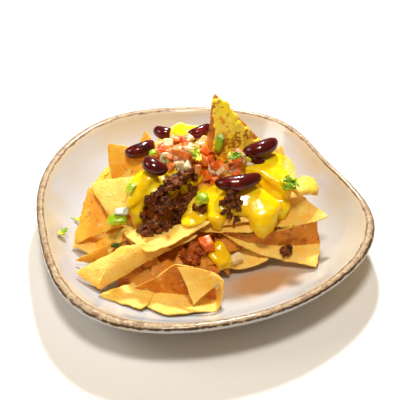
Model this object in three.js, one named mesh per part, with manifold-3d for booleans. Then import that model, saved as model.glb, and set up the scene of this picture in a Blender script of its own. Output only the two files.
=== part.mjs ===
// A plate of nachos: a loose heap of corn tortilla chips on an uneven stoneware
// plate, with melted cheese, minced beef, kidney beans, tomato-and-onion pico and
// green pepper on it. Millimetres, +Z up, origin under the middle of the plate.
import * as THREE from "three";
import { mergeVertices } from "three/addons/utils/BufferGeometryUtils.js";
import Module from "manifold-3d";

const wasm = await Module();
wasm.setup();

// ---- Driving dimensions ------------------------------------------------------

const GAP = 0.4; // clearance between neighbouring solids
const SIMPLIFY = 0.12; // facets smaller than this go
const CHIP_THICK = 1.8;
const POCKET_GAP = 1.4; // room in the heap round a chip that is pushed into it
const POCKET_STEPS = 3;
const FOLD_REACH = 25; // from the middle of a folded chip to its nearest edge, about
const CREASE_TENSION = 0.15; // of a folded chip's curves: low ones turn sharply at a point
const ROW_TENSION = 0.3;
const CHIP_STEPS = 4; // facets along one side of a chip that shows
const LYING_CHIP_STEPS = 2; // and of one in the heap underneath
const TIP_START = 0.8; // share of a corner from which the chip is rounded off towards it

const PLATE_RADIUS = 115.8; // mean radius of the rim
const PLATE_FLOOR = 6.0; // thickness of the floor in the middle
const PLATE_SEGMENTS = 38;
// Uneven, hand-made outline: waves round the rim as [waves, height, phase in degrees].
const PLATE_WAVES = [
  [1, 3.9, 175],
  [2, 3.5, -137],
  [3, 3.2, -26],
  [4, 3.9, -112],
  [5, 1.2, -59],
  [6, 1.4, -23],
];
const OUTLINE_FADE = 1.5; // how fast the waves die out towards the middle
// Section from the middle of the foot, round the rim, to the middle of the floor:
// [share of the rim radius, height].
const PLATE_SECTION = [
  [0.0, 0.0],
  [0.5, 0.0],
  [0.555, 1.2],
  [0.7, 5.0],
  [0.84, 12.0],
  [0.935, 20.5],
  [0.985, 26.5],
  [1.0, 29.5],
  [0.988, 31.5],
  [0.965, 31.8],
  [0.943, 30.0],
  [0.9, 24.5],
  [0.83, 17.0],
  [0.74, 11.0],
  [0.63, 7.6],
  [0.48, 6.4],
  [0.0, PLATE_FLOOR],
];

// The heap under the chips that show: two rounded mounds that run together, each with
// its middle, its half widths and its height above the base.
const HEAP_BASE = 8;
const HEAP_CENTRE = [-6, -4];
const HEAP_STEEPNESS = 0.7;
const MOUNDS = [
  { x: -4, y: 18, rx: 73, ry: 58, height: 49 },
  { x: -24, y: -26, rx: 44, ry: 40, height: 20 },
];

// ---- Colours -----------------------------------------------------------------

const finish = (color, roughness) =>
  new THREE.MeshStandardMaterial({ color, roughness, metalness: 0 });
const MATERIAL = {
  glaze: finish(0xe6e0d4, 0.25),
  chip: finish(0xf0cf78, 0.7),
  cheese: finish(0xffcf10, 0.3),
  beef: finish(0x4a2417, 0.5),
  bean: finish(0x4a0f16, 0.2),
  pico: finish(0xd9573a, 0.4),
  tomato: finish(0xe0522a, 0.3),
  onion: finish(0xf1e6d6, 0.35),
  green: finish(0x7fae2e, 0.45),
};

// ---- Small helpers -----------------------------------------------------------

const vec = (p) => new THREE.Vector3(...p);

function seeded(seed) {
  let state = seed;
  return (low = 0, high = 1) => {
    state = (state * 1664525 + 1013904223) % 4294967296;
    return low + ((high - low) * state) / 4294967296;
  };
}

function solidFrom(geometry) {
  const bare = new THREE.BufferGeometry();
  bare.setAttribute("position", geometry.getAttribute("position"));
  bare.setIndex(geometry.index);
  const merged = mergeVertices(bare, 1e-4);
  return new wasm.Manifold(
    new wasm.Mesh({
      numProp: 3,
      vertProperties: merged.attributes.position.array,
      triVerts: new Uint32Array(merged.index.array),
    }),
  );
}

function geometryFrom(solid) {
  const mesh = solid.getMesh();
  const geometry = new THREE.BufferGeometry();
  const position = new THREE.BufferAttribute(mesh.vertProperties, mesh.numProp);
  geometry.setAttribute("position", position);
  geometry.setIndex(new THREE.BufferAttribute(mesh.triVerts, 1));
  return geometry;
}

const largest = (solid) =>
  solid.decompose().reduce((a, b) => (a.volume() > b.volume() ? a : b));

const joined = (solids) => solids.reduce((a, b) => a.add(b)).simplify(SIMPLIFY);

// A closed solid from two matching skins of points and the triangles of the upper one.
// The lower skin is turned over, and a wall joins the two along the rim, which runs
// the same way round as the triangles.
function solidBetween(upper, lower, triangles, rim) {
  const points = [...upper, ...lower].flatMap((p) => [p.x, p.y, p.z]);
  const count = upper.length;
  const faces = triangles.flatMap(([a, b, c]) => [a, b, c, c + count, b + count, a + count]);
  rim.forEach((a, i) => {
    const b = rim[(i + 1) % rim.length];
    faces.push(b, a, a + count, b, a + count, b + count);
  });
  const geometry = new THREE.BufferGeometry();
  geometry.setAttribute("position", new THREE.Float32BufferAttribute(points, 3));
  geometry.setIndex(faces);
  return solidFrom(geometry);
}

// The triangles of a grid of points, `along` by `across` cells, and the rim round it.
function gridFaces(along, across) {
  const at = (u, v) => u * (across + 1) + v;
  const triangles = [];
  for (let u = 0; u < along; u++)
    for (let v = 0; v < across; v++) {
      triangles.push([at(u, v), at(u + 1, v), at(u, v + 1)]);
      triangles.push([at(u, v + 1), at(u + 1, v), at(u + 1, v + 1)]);
    }
  const rim = [];
  for (let u = 0; u < along; u++) rim.push(at(u, 0));
  for (let v = 0; v < across; v++) rim.push(at(along, v));
  for (let u = along; u > 0; u--) rim.push(at(u, across));
  for (let v = across; v > 0; v--) rim.push(at(0, v));
  return { triangles, rim };
}

// Unit normals of a sheet of points, averaged over the triangles round each point.
function sheetNormals(points, triangles) {
  const normals = points.map(() => new THREE.Vector3());
  for (const [a, b, c] of triangles) {
    const ab = points[b].clone().sub(points[a]);
    const face = ab.cross(points[c].clone().sub(points[a]));
    for (const k of [a, b, c]) normals[k].add(face);
  }
  return normals.map((n) => n.normalize());
}

function thickened(points, triangles, rim, thickness) {
  const normals = sheetNormals(points, triangles);
  const offset = (side) => points.map((p, i) => p.clone().addScaledVector(normals[i], side * thickness));
  return solidBetween(offset(0.5), offset(-0.5), triangles, rim);
}

// ---- Plate -------------------------------------------------------------------

function rimRadius(angle) {
  const wave = ([n, height, phase]) => height * Math.cos(n * angle - THREE.MathUtils.degToRad(phase));
  return PLATE_WAVES.reduce((sum, w) => sum + wave(w), PLATE_RADIUS);
}

function plateRadius(share, angle) {
  const blend = share ** OUTLINE_FADE;
  return share * (PLATE_RADIUS * (1 - blend) + rimRadius(angle) * blend);
}

function plateSolid() {
  const rings = PLATE_SECTION.slice(1, -1);
  const points = [0, 0, 0];
  const angles = Array.from({ length: PLATE_SEGMENTS }, (_, k) => (k * 2 * Math.PI) / PLATE_SEGMENTS);
  for (const [share, z] of rings)
    for (const angle of angles) {
      const r = plateRadius(share, angle);
      points.push(r * Math.cos(angle), r * Math.sin(angle), z);
    }
  points.push(0, 0, PLATE_FLOOR);
  const top = points.length / 3 - 1;
  const at = (ring, k) => 1 + ring * PLATE_SEGMENTS + (k % PLATE_SEGMENTS);
  const faces = [];
  for (let k = 0; k < PLATE_SEGMENTS; k++) {
    faces.push(0, at(0, k + 1), at(0, k));
    for (let ring = 0; ring < rings.length - 1; ring++) {
      faces.push(at(ring, k), at(ring, k + 1), at(ring + 1, k + 1));
      faces.push(at(ring, k), at(ring + 1, k + 1), at(ring + 1, k));
    }
    faces.push(at(rings.length - 1, k), at(rings.length - 1, k + 1), top);
  }
  const geometry = new THREE.BufferGeometry();
  geometry.setAttribute("position", new THREE.Float32BufferAttribute(points, 3));
  geometry.setIndex(faces);
  geometry.computeBoundingBox();
  const middle = geometry.boundingBox.getCenter(new THREE.Vector3());
  geometry.translate(-middle.x, -middle.y, 0);
  return solidFrom(geometry);
}

// ---- Tortilla chips ----------------------------------------------------------

// A three-cornered chip. It bends like a rolled sheet: the ridge of the bend runs
// square to the way in which `bend`, a number for each corner, changes, and stands
// `depth` above the plane of the corners. `arc` bows the side opposite the first
// corner outwards, and `blunt` rounds the corners.
function chipShape({ corners, bend = [0.5, 0, 1], depth = 3, arc = 0.08, blunt = 0.06 }) {
  const [p0, p1, p2] = corners.map(vec);
  const normal = p1.clone().sub(p0).cross(p2.clone().sub(p0)).normalize();
  if (normal.z < 0) normal.negate();
  return { p0, p1, p2, normal, bend, depth, arc, blunt };
}

function chipSolid(chip, grow = 0) {
  const { steps = CHIP_STEPS } = chip;
  const shape = chipShape(chip);
  const middle = shape.p0.clone().add(shape.p1).add(shape.p2).divideScalar(3);
  const scale = 1 + grow / shape.p0.distanceTo(middle);
  const points = [];
  for (let i = 0; i <= steps; i++)
    for (let j = 0; j <= steps - i; j++)
      points.push(chipPoint(i / steps, j / steps, shape).sub(middle).multiplyScalar(scale).add(middle));
  const at = (i, j) => i * (steps + 1) - (i * (i - 1)) / 2 + j;
  const triangles = [];
  for (let i = 0; i < steps; i++)
    for (let j = 0; j < steps - i; j++) {
      triangles.push([at(i, j), at(i + 1, j), at(i, j + 1)]);
      if (j < steps - i - 1) triangles.push([at(i + 1, j), at(i + 1, j + 1), at(i, j + 1)]);
    }
  const rim = [];
  for (let k = 0; k < steps; k++) rim.push(at(k, 0));
  for (let k = 0; k < steps; k++) rim.push(at(steps - k, k));
  for (let k = 0; k < steps; k++) rim.push(at(0, steps - k));
  return thickened(points, triangles, rim, CHIP_THICK + 2 * grow);
}

// The point of a chip with share `a` of its first corner and `b` of its second.
function chipPoint(a, b, { p0, p1, p2, normal, bend, depth, arc, blunt }) {
  const share = [a, b, 1 - a - b];
  const bow = arc * share[1] * share[2];
  const pulled = [share[0] - 4 * bow, share[1] + 2 * bow, share[2] + 2 * bow];
  share.forEach((s, k) => {
    const tip = blunt * Math.max(0, (s - TIP_START) / (1 - TIP_START)) ** 2;
    pulled[k] -= tip;
    pulled[(k + 1) % 3] += tip / 2;
    pulled[(k + 2) % 3] += tip / 2;
  });
  const along = share[0] * bend[0] + share[1] * bend[1] + share[2] * bend[2];
  const lift = depth * (1 - (2 * along - 1) ** 2);
  return new THREE.Vector3()
    .addScaledVector(p0, pulled[0])
    .addScaledVector(p1, pulled[1])
    .addScaledVector(p2, pulled[2])
    .addScaledVector(normal, lift);
}

// A folded chip: a sheet through a few columns of three points each. It is creased
// across, along the line of the middle points, and softer from column to column.
function foldedSolid({ columns, steps }, grow = 0) {
  const [along, across] = steps;
  const curve = (list, tension) => new THREE.CatmullRomCurve3(list, false, "catmullrom", tension);
  const crossing = columns.map((column) => curve(column.map(vec), CREASE_TENSION));
  const rows = Array.from({ length: across + 1 }, (_, v) =>
    curve(crossing.map((column) => column.getPoint(v / across)), ROW_TENSION),
  );
  const points = [];
  for (let u = 0; u <= along; u++)
    for (const row of rows) points.push(row.getPoint(u / along));
  const middle = points.reduce((sum, p) => sum.add(p), new THREE.Vector3()).divideScalar(points.length);
  for (const p of points) p.sub(middle).multiplyScalar(1 + grow / FOLD_REACH).add(middle);
  const { triangles, rim } = gridFaces(along, across);
  return thickened(points, triangles, rim, CHIP_THICK + 2 * grow);
}

const CHIPS = {
  chip_peak: { corners: [[7, 34, 98], [1, 14, 44], [47, 20, 58]], depth: 5, arc: 0.05, blunt: 0.04 },
  chip_back_left: { corners: [[-64, 26, 60], [-62, 10, 35], [-28, 14, 61]], depth: 4 },
  chip_back_tip: { corners: [[-39, 34, 66], [-50, 20, 45], [-25, 16, 52]], depth: 2 },
  chip_left_top: { corners: [[-30, -7, 56], [-75, 0, 46], [-55, -33, 35]], depth: 4, arc: 0.04, blunt: 0.04 },
  chip_left_wall: { corners: [[-76, 1, 42], [-86, -33, 18], [-49, -25, 30]], depth: 3, arc: 0.02 },
  chip_left_lower: { corners: [[-88, -35, 20], [-66, -18, 24], [-54, -42, 12]], depth: -2, arc: 0 },
  chip_left_shade: { corners: [[-84, -48, 20], [-51, -32, 26], [-64, -42, 11]], depth: 2 },
  chip_left_front: { corners: [[-80, -61, 21], [-49, -44, 28], [-63, -73, 16]], depth: 3, arc: 0.05 },
  chip_front_fold: {
    corners: [[-53, -50, 33], [-18, -50, 33], [-65, -74, 18]],
    bend: [1, 0, 0],
    depth: 6,
    arc: -0.02,
  },
  chip_fold_under: { corners: [[-66, -75, 18.5], [-36, -87, 15.5], [-28, -55, 15]], depth: -2.5, arc: 0.05 },
  chip_scoop: { corners: [[-53, -37, 38], [-34, -61, 39], [10, -33, 42]], depth: -3, arc: 0 },
  chip_scoop_under: { corners: [[-51, -36, 32], [-36, -58, 32], [-1, -41, 36]], depth: -3, arc: 0 },
  chip_shelf: { corners: [[25, -8, 54], [-4, -35, 38], [53, -30, 44]], depth: -2 },
  chip_shelf_low: { corners: [[28, -14, 46], [-3, -37, 34], [47, -35, 36]], depth: -2, arc: 0.06 },
  chip_right_shelf: {
    corners: [[64, -12, 48], [39, -31, 33], [85, -23, 35]],
    bend: [1, 0, 0],
    depth: -5,
    arc: 0.14,
  },
  chip_right_round: { corners: [[56, -22, 44], [66, 10, 41], [79, -8, 40]], depth: 5, arc: 0.1 },
  chip_low_front: { corners: [[25, -26, 24], [4, -48, 17], [46, -41, 15]], depth: -3, arc: 0.25 },
  chip_right_back: { corners: [[41, 14, 54], [54, 24, 61], [56, 8, 43]], depth: 3 },
};

// Two chips that broke their bend while frying and folded over.
const FOLDED = {
  chip_front_cup: {
    steps: [12, 4],
    columns: [
      [[-46, -67, 12], [-46, -68, 11], [-46, -69.5, 10.5]],
      [[-31, -68, 23], [-33, -68, 11], [-34, -82, 12]],
      [[-17, -66, 34], [-18, -70, 11], [-21, -92, 16]],
      [[-3, -67, 30], [-3, -71, 11], [-4, -88, 14]],
      [[9, -71, 17], [9.5, -75, 11], [9, -85, 11.5]],
      [[11, -69, 26], [12.5, -71, 23], [12.5, -78, 18]],
      [[3, -71, 34], [6, -72, 31], [9.5, -75, 26]],
      [[-15, -67, 33], [-11, -75, 26], [-5, -86, 17]],
    ],
  },
  chip_right_wall: {
    steps: [6, 4],
    columns: [
      [[11, -34, 33], [11, -34.5, 32], [12, -35, 31]],
      [[31, -34, 29], [31, -35, 22.5], [33, -41, 20]],
      [[54, -31, 31], [55, -33, 18], [55, -43, 13]],
      [[75, -25, 34], [79, -31, 18], [74, -51, 15]],
    ],
  },
};

// ---- The heap underneath -----------------------------------------------------

function heapHeight(x, y) {
  const above = ({ x: mx, y: my, rx, ry, height }) => {
    const rho = Math.hypot((x - mx) / rx, (y - my) / ry);
    return height * Math.max(0, 1 - rho * rho) ** HEAP_STEEPNESS;
  };
  return HEAP_BASE + Math.max(...MOUNDS.map(above));
}

// How far the heap reaches from its centre at an angle.
function heapReach(angle) {
  let reach = 20;
  const [x, y] = HEAP_CENTRE;
  while (heapHeight(x + reach * Math.cos(angle), y + reach * Math.sin(angle)) > HEAP_BASE) reach += 1;
  return reach - 1;
}

function heapCore() {
  const shares = [0.35, 0.65, 0.85, 0.985];
  const sides = 18;
  const random = seeded(11);
  const [cx, cy] = HEAP_CENTRE;
  const upper = [new THREE.Vector3(cx, cy, heapHeight(cx, cy))];
  for (const share of shares)
    for (let k = 0; k < sides; k++) {
      const angle = (k * 2 * Math.PI) / sides;
      const r = share * heapReach(angle);
      const x = cx + r * Math.cos(angle);
      const y = cy + r * Math.sin(angle);
      upper.push(new THREE.Vector3(x, y, heapHeight(x, y) - random(0, 2.5)));
    }
  const at = (ring, k) => 1 + ring * sides + (k % sides);
  const triangles = [];
  for (let k = 0; k < sides; k++) {
    triangles.push([0, at(0, k), at(0, k + 1)]);
    for (let ring = 0; ring < shares.length - 1; ring++) {
      triangles.push([at(ring, k), at(ring + 1, k), at(ring, k + 1)]);
      triangles.push([at(ring, k + 1), at(ring + 1, k), at(ring + 1, k + 1)]);
    }
  }
  const rim = Array.from({ length: sides }, (_, k) => at(shares.length - 1, k));
  const lower = upper.map((p) => new THREE.Vector3(p.x, p.y, HEAP_BASE - 0.4));
  return solidBetween(upper, lower, triangles, rim);
}

// The direction square to the heap's surface.
function heapNormal(x, y) {
  const step = 3;
  const slopeX = heapHeight(x + step, y) - heapHeight(x - step, y);
  const slopeY = heapHeight(x, y + step) - heapHeight(x, y - step);
  return new THREE.Vector3(-slopeX, -slopeY, 2 * step).normalize();
}

// Chips that lie on the heap's slopes, mostly at the back, in rings: `share` is how
// far out their middles are, `lift` how far off the slope, and `count` how many lie
// between two angles round the heap.
function lyingChips() {
  const random = seeded(5);
  const rings = [
    { share: 0.8, count: 7, from: -8, to: 195, lift: -3.5 },
    { share: 0.5, count: 4, from: 5, to: 185, lift: -3 },
    { share: 0.72, count: 2, from: 200, to: 300, lift: -5 },
  ];
  const chips = [];
  for (const { share, count, from, to, lift } of rings)
    for (let k = 0; k < count; k++) {
      const angle = THREE.MathUtils.degToRad(from + ((to - from) * (k + random(0.2, 0.8))) / count);
      const r = share * heapReach(angle);
      const x = HEAP_CENTRE[0] + r * Math.cos(angle);
      const y = HEAP_CENTRE[1] + r * Math.sin(angle);
      const up = new THREE.Vector3(random(-0.25, 0.25), random(-0.25, 0.25), random(0, 0.25));
      up.add(heapNormal(x, y)).normalize();
      const lie = new THREE.Quaternion().setFromUnitVectors(new THREE.Vector3(0, 0, 1), up);
      const size = random(29, 34);
      const spin = random(0, 2 * Math.PI);
      const middle = new THREE.Vector3(x, y, heapHeight(x, y)).addScaledVector(up, lift);
      const corners = [0, 1, 2].map((n) => {
        const turn = spin + (n * 2 * Math.PI) / 3;
        const corner = new THREE.Vector3(size * Math.cos(turn), size * Math.sin(turn), 0);
        return corner.applyQuaternion(lie).add(middle).toArray();
      });
      chips.push({ corners, depth: random(1, 5), steps: LYING_CHIP_STEPS });
    }
  return chips;
}

// Hidden chips that carry the cheese at the top of the heap.
const CARRYING_CHIPS = [
  { corners: [[18, 8, 57], [60, -14, 47], [58, 22, 52]], depth: 3, steps: LYING_CHIP_STEPS },
  { corners: [[-4, 4, 55], [-46, -2, 47], [-26, -32, 42]], depth: 2, steps: LYING_CHIP_STEPS },
];

function heapSolid() {
  const chips = [...CARRYING_CHIPS, ...lyingChips()];
  return joined([heapCore(), ...chips.map((chip) => chipSolid(chip))]);
}

// ---- Toppings ----------------------------------------------------------------

// Spread toppings lie in bands on what is under them. A band is a path of
// [x, y, half width] and a thickness in the middle. Those marked `low` lie under the
// chips that overhang the front of the heap.
const CHEESE = {
  cheese_left: [
    { path: [[3, 6, 7], [-11, -2, 8], [-25, -8, 9], [-36, -13, 8], [-43, -20, 6], [-41, -29, 4]], thick: 3 },
    { path: [[5, -9, 4], [0, -20, 6.5], [-5, -30, 6.5], [-11, -37, 4.5]], thick: 2.5 },
  ],
  cheese_apron: [
    { path: [[1, -14, 7], [14, -17, 11], [30, -15, 13], [45, -7, 13], [54, 2, 8]], thick: 4.5 },
    { path: [[8, -20, 5], [9, -28, 5], [9.5, -35, 4]], thick: 4 },
    { path: [[33, -17, 12], [38, -25, 11], [39, -33, 7], [38, -38, 3.5]], thick: 5 },
    { path: [[42, -9, 11], [48, -16, 10], [52, -24, 5]], thick: 4 },
    { path: [[44, 2, 8], [51, 15, 5]], thick: 4 },
  ],
  cheese_drip: [
    { path: [[11, -38, 3], [11, -42, 3.5], [11, -47, 6.5], [10, -51, 4]], thick: 3, low: true, reach: 1.5 },
  ],
  cheese_back: [
    { path: [[-16, 57, 3], [-16, 44, 7], [0, 38, 8], [18, 40, 7], [27, 50, 6], [30, 60, 3]], thick: 4 },
  ],
};
const BEEF = {
  beef_main: { path: [[-3, -5, 6], [-14, -17, 9.5], [-25, -28, 11.5], [-34, -36, 11], [-40, -43, 7]], crumbs: 12 },
  beef_middle: { path: [[18, -21, 4], [19, -28, 5], [20, -33, 4.5]], crumbs: 3 },
  beef_small: { path: [[-1, -25, 3], [1, -29, 3]], crumbs: 2 },
  beef_front: { path: [[-12, -54, 6], [-6, -48, 8], [1, -42, 7]], crumbs: 6, low: true },
  beef_crumb: { path: [[53, -38, 3], [57, -40, 3]], crumbs: 2, reach: 1 },
};
const COAT_CLEAR = 0.3; // more than the gap, between a coat and its chip
const COAT_STEPS = 4;
const COAT_UNEVEN = 0.4; // share by which its thickness varies
// Cheese melted on the face of a chip: how far it reaches from each corner's side.
const COATS = {
  cheese_peak: { chip: "chip_peak", from: [0.04, 0.05], to: [0.88, 0.8], thick: 2.5 },
  cheese_round: { chip: "chip_right_round", from: [0.1, 0.15], to: [0.7, 0.8], thick: 2 },
  cheese_shelf: { chip: "chip_right_shelf", from: [0.05, 0.3], to: [0.6, 0.75], thick: 2 },
};
const BEEF_THICK = 5;
const CRUMB_SIZE = [4, 5.5];
const PICO = {
  pico_left: { path: [[-35, 13, 6], [-24, 16, 13], [-9, 14, 17], [4, 5, 10], [12, -2, 6]], cubes: 10 },
  pico_right: { path: [[16, 8, 6], [24, 9, 9], [32, 6, 6]], cubes: 4 },
};
const PICO_THICK = 7;
const CUBE_SIZE = [6.5, 9];

// Kidney beans: where the middle is in plan, the length, half the width as a share of
// it, the heading in degrees and how far the bean is tipped along its length.
const BEANS = {
  bean_front: { at: [24, -17], length: 31, girth: 0.2, heading: 12, tip: 2 },
  bean_right_low: { at: [34, 7], length: 17, girth: 0.25, heading: -35, tip: -12, sink: 6 },
  bean_right: { at: [40, 10], length: 25, girth: 0.25, heading: 22, tip: 8, sink: 3 },
  bean_left: { at: [-41, 14], length: 22, girth: 0.26, heading: 30, tip: 4, sink: 4 },
  bean_left_end: { at: [-31, -9], length: 18, girth: 0.33, heading: -25, tip: -12 },
  bean_back_left: { at: [-27, 45], length: 17, girth: 0.3, heading: -20, tip: 0 },
  bean_back: { at: [-1, 34], length: 18, girth: 0.25, heading: 30, tip: 5 },
};
// Pieces of green pepper and herb: plan position, length, width and height, heading
// and how far the piece is tipped up along its length.
const GREENS = {
  green_peak: { at: [12, 16], size: [14, 6, 5], heading: 60, tip: 60 },
  green_top: { at: [-4, -3], size: [14, 9, 6], heading: 80, sink: -2 },
  green_middle: { at: [0, -29], size: [9, 8, 6], heading: 20 },
  green_left: { at: [-46, -19], size: [9, 6, 4], heading: 60, sink: 3 },
  green_low_left: { at: [-55, -33], size: [13, 8, 4], heading: 5 },
  green_right: { at: [57, -16], size: [15, 11, 8], heading: -60 },
  green_centre: { at: [21, -1], size: [10, 8, 5], heading: 15, sink: -1 },
  herb_left: { at: [-54, -44], size: [11, 6, 4], heading: 35, low: true },
  green_plate: { at: [-93, -26], size: [9, 6, 3], heading: 40 },
  green_plate_long: { at: [-86, -3], size: [12, 3.5, 2.5], heading: -15 },
  green_back: { at: [-33, 10], size: [6, 5, 4], heading: 0, sink: 3 },
};
const ONIONS = {
  onion_left: { at: [-52, -29], size: [10, 6, 3.5], heading: 5 },
  onion_low: { at: [22, -44], size: [9, 7, 5], heading: 30, low: true },
};
const TOMATOES = {
  tomato_front: { at: [3, -45], size: [9, 9, 9], heading: 25, low: true },
};

const PROBE_HEIGHT = 200; // rays that look for the ground start here
const DROP_HEIGHT = 100; // and pieces fall from here
const SINK = 1.2; // how far a piece settles into what it lies on
const probe = new THREE.Raycaster();
const DOWN = new THREE.Vector3(0, 0, -1);
const GROUND = new THREE.Group(); // what toppings rest on
const LOW_GROUND = new THREE.Group(); // the same, without the chips that overhang
// Chips that stand too steeply to carry anything, and those with room underneath.
const STEEP = ["chip_peak", "chip_back_left", "chip_back_tip", "chip_right_back", "chip_right_round"];
const OVERHANGING = ["chip_scoop", "chip_scoop_under", "chip_shelf", "chip_shelf_low"];

function groundHeight(x, y, ground = GROUND) {
  probe.set(new THREE.Vector3(x, y, PROBE_HEIGHT), DOWN);
  const hit = probe.intersectObject(ground, true)[0];
  return hit ? hit.point.z : 0;
}

// The highest ground within a small distance, so that a spread clears the edges.
function coveredHeight(x, y, reach, ground) {
  let height = groundHeight(x, y, ground);
  for (let k = 0; k < 8; k++) {
    const angle = (k * Math.PI) / 4;
    const r = k % 2 ? 0.6 * reach : reach;
    height = Math.max(height, groundHeight(x + r * Math.cos(angle), y + r * Math.sin(angle), ground));
  }
  return height;
}

function addGround(solid, name = "") {
  if (STEEP.includes(name)) return;
  GROUND.add(new THREE.Mesh(geometryFrom(solid)));
  if (!OVERHANGING.includes(name)) LOW_GROUND.add(new THREE.Mesh(geometryFrom(solid)));
}

// A band of topping with a rounded top, draped along its path.
const BAND_SPACING = 10;
const BAND_SIDES = 3; // facets from side to side
const BED_SIDES = 2; // the same, in a band that is studded with pieces
const BAND_REACH = 3.6; // how far round a point it takes the highest ground
const BAND_CLEAR = 0.5; // between its underside and the highest of what carries it
const BAND_EDGE = 0.8; // height of its edge
const BAND_END = 0.2; // how blunt its ends are
const STUD_LIFT = [0.2, 1.8]; // how far above the top of its bed the middle of a stud is
const STUD_SPREAD = 0.85; // share of the band's width that studs keep to
const GOLDEN = 0.618034; // spreads the studs evenly from side to side

function bandSolid({ path, thick, low, reach = BAND_REACH }, sides) {
  const ground = low ? LOW_GROUND : GROUND;
  const curve = new THREE.CatmullRomCurve3(path.map(vec), false, "centripetal");
  const along = Math.max(2, Math.round(curve.getLength() / BAND_SPACING));
  const upper = [];
  const lower = [];
  for (let u = 0; u <= along; u++) {
    const t = u / along;
    const centre = curve.getPoint(t);
    const heading = curve.getTangent(t).setZ(0).normalize();
    const halfWidth = centre.z * Math.sqrt(Math.max(BAND_END, 1 - (2 * t - 1) ** 6));
    for (let v = 0; v <= sides; v++) {
      const side = (2 * v) / sides - 1;
      const x = centre.x - heading.y * side * halfWidth;
      const y = centre.y + heading.x * side * halfWidth;
      const base = coveredHeight(x, y, reach, ground);
      const crown = Math.sqrt(Math.max(0, 1 - side * side)) * Math.sqrt(Math.max(0, 1 - (2 * t - 1) ** 4));
      upper.push(new THREE.Vector3(x, y, base + BAND_CLEAR + BAND_EDGE + (thick - BAND_EDGE) * crown));
      lower.push(new THREE.Vector3(x, y, base + BAND_CLEAR));
    }
  }
  const { triangles, rim } = gridFaces(along, sides);
  return solidBetween(upper, lower, triangles, rim);
}

// A band studded with small pieces that `piece` makes, each half sunk in its top.
function studdedBand(band, count, seed, piece) {
  const { path, low } = band;
  const random = seeded(seed);
  const bed = bandSolid(band, BED_SIDES);
  addGround(bed);
  const ground = low ? LOW_GROUND : GROUND;
  const curve = new THREE.CatmullRomCurve3(path.map(vec), false, "centripetal");
  const pieces = [];
  for (let k = 0; k < count; k++) {
    const t = (k + 0.5) / count;
    const centre = curve.getPoint(t);
    const heading = curve.getTangent(t).setZ(0).normalize();
    const side = STUD_SPREAD * centre.z * (((k * GOLDEN) % 1) * 2 - 1);
    const x = centre.x - heading.y * side;
    const y = centre.y + heading.x * side;
    const geometry = piece(random);
    const turn = new THREE.Euler(random(0, 3), random(0, 3), random(0, 3));
    geometry.applyMatrix4(new THREE.Matrix4().makeRotationFromEuler(turn));
    geometry.translate(x, y, groundHeight(x, y, ground) + random(...STUD_LIFT));
    pieces.push(solidFrom(geometry));
  }
  return joined([bed, ...pieces]);
}

const crumb = (random) =>
  new THREE.IcosahedronGeometry(random(...CRUMB_SIZE), 0).scale(1, random(0.7, 1), random(0.7, 1));
function cube(random) {
  const [width, depth, height] = [0, 1, 2].map(() => random(...CUBE_SIZE));
  return new THREE.BoxGeometry(width, depth, height);
}

// Lowers a geometry straight down until it rests on the ground, then sinks it a little.
function rested(geometry, sink, ground) {
  const position = geometry.getAttribute("position");
  let fall = Infinity;
  for (let i = 0; i < position.count; i++) {
    const space = position.getZ(i) - groundHeight(position.getX(i), position.getY(i), ground);
    fall = Math.min(fall, space);
  }
  return geometry.translate(0, 0, -fall - sink);
}

// A kidney: a long ball bent along its length, a little flatter than it is wide.
const BEAN_FLATNESS = 0.88;
const BEAN_BEND = 0.1; // how far the ends lie to one side, as a share of the length
function beanGeometry({ at, length, girth, heading, tip }, grow = 0) {
  const half = length / 2 + grow;
  const geometry = new THREE.SphereGeometry(1, 10, 7).rotateY(Math.PI / 2);
  const position = geometry.getAttribute("position");
  for (let i = 0; i < position.count; i++) {
    const x = position.getX(i);
    const y = position.getY(i) * (length * girth + grow) + length * BEAN_BEND * x * x;
    const z = position.getZ(i) * (length * girth * BEAN_FLATNESS + grow);
    position.setXYZ(i, x * half, y, z);
  }
  geometry.rotateY(-THREE.MathUtils.degToRad(tip));
  geometry.rotateZ(THREE.MathUtils.degToRad(heading));
  return geometry.translate(at[0], at[1], DROP_HEIGHT);
}

// A cut piece of vegetable: a ball clipped to a block, so that its corners are knocked off.
const CHOP_BALL = 0.62;
const CHOP_BLOCK = 0.42; // half the side of the block that the ball is clipped to
const CHOP_LEAN = 0.15;
function choppedGeometry({ at, size, heading, tip = 0 }, grow = 0) {
  const geometry = new THREE.SphereGeometry(CHOP_BALL, 8, 4);
  const position = geometry.getAttribute("position");
  for (let i = 0; i < position.count; i++) {
    const p = new THREE.Vector3().fromBufferAttribute(position, i);
    p.clampScalar(-CHOP_BLOCK, CHOP_BLOCK).divideScalar(CHOP_BLOCK);
    p.multiply(vec(size).divideScalar(2).addScalar(grow));
    position.setXYZ(i, p.x, p.y, p.z);
  }
  geometry.rotateX(CHOP_LEAN);
  geometry.rotateY(-THREE.MathUtils.degToRad(tip));
  geometry.rotateZ(THREE.MathUtils.degToRad(heading));
  return geometry.translate(at[0], at[1], DROP_HEIGHT);
}

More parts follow.
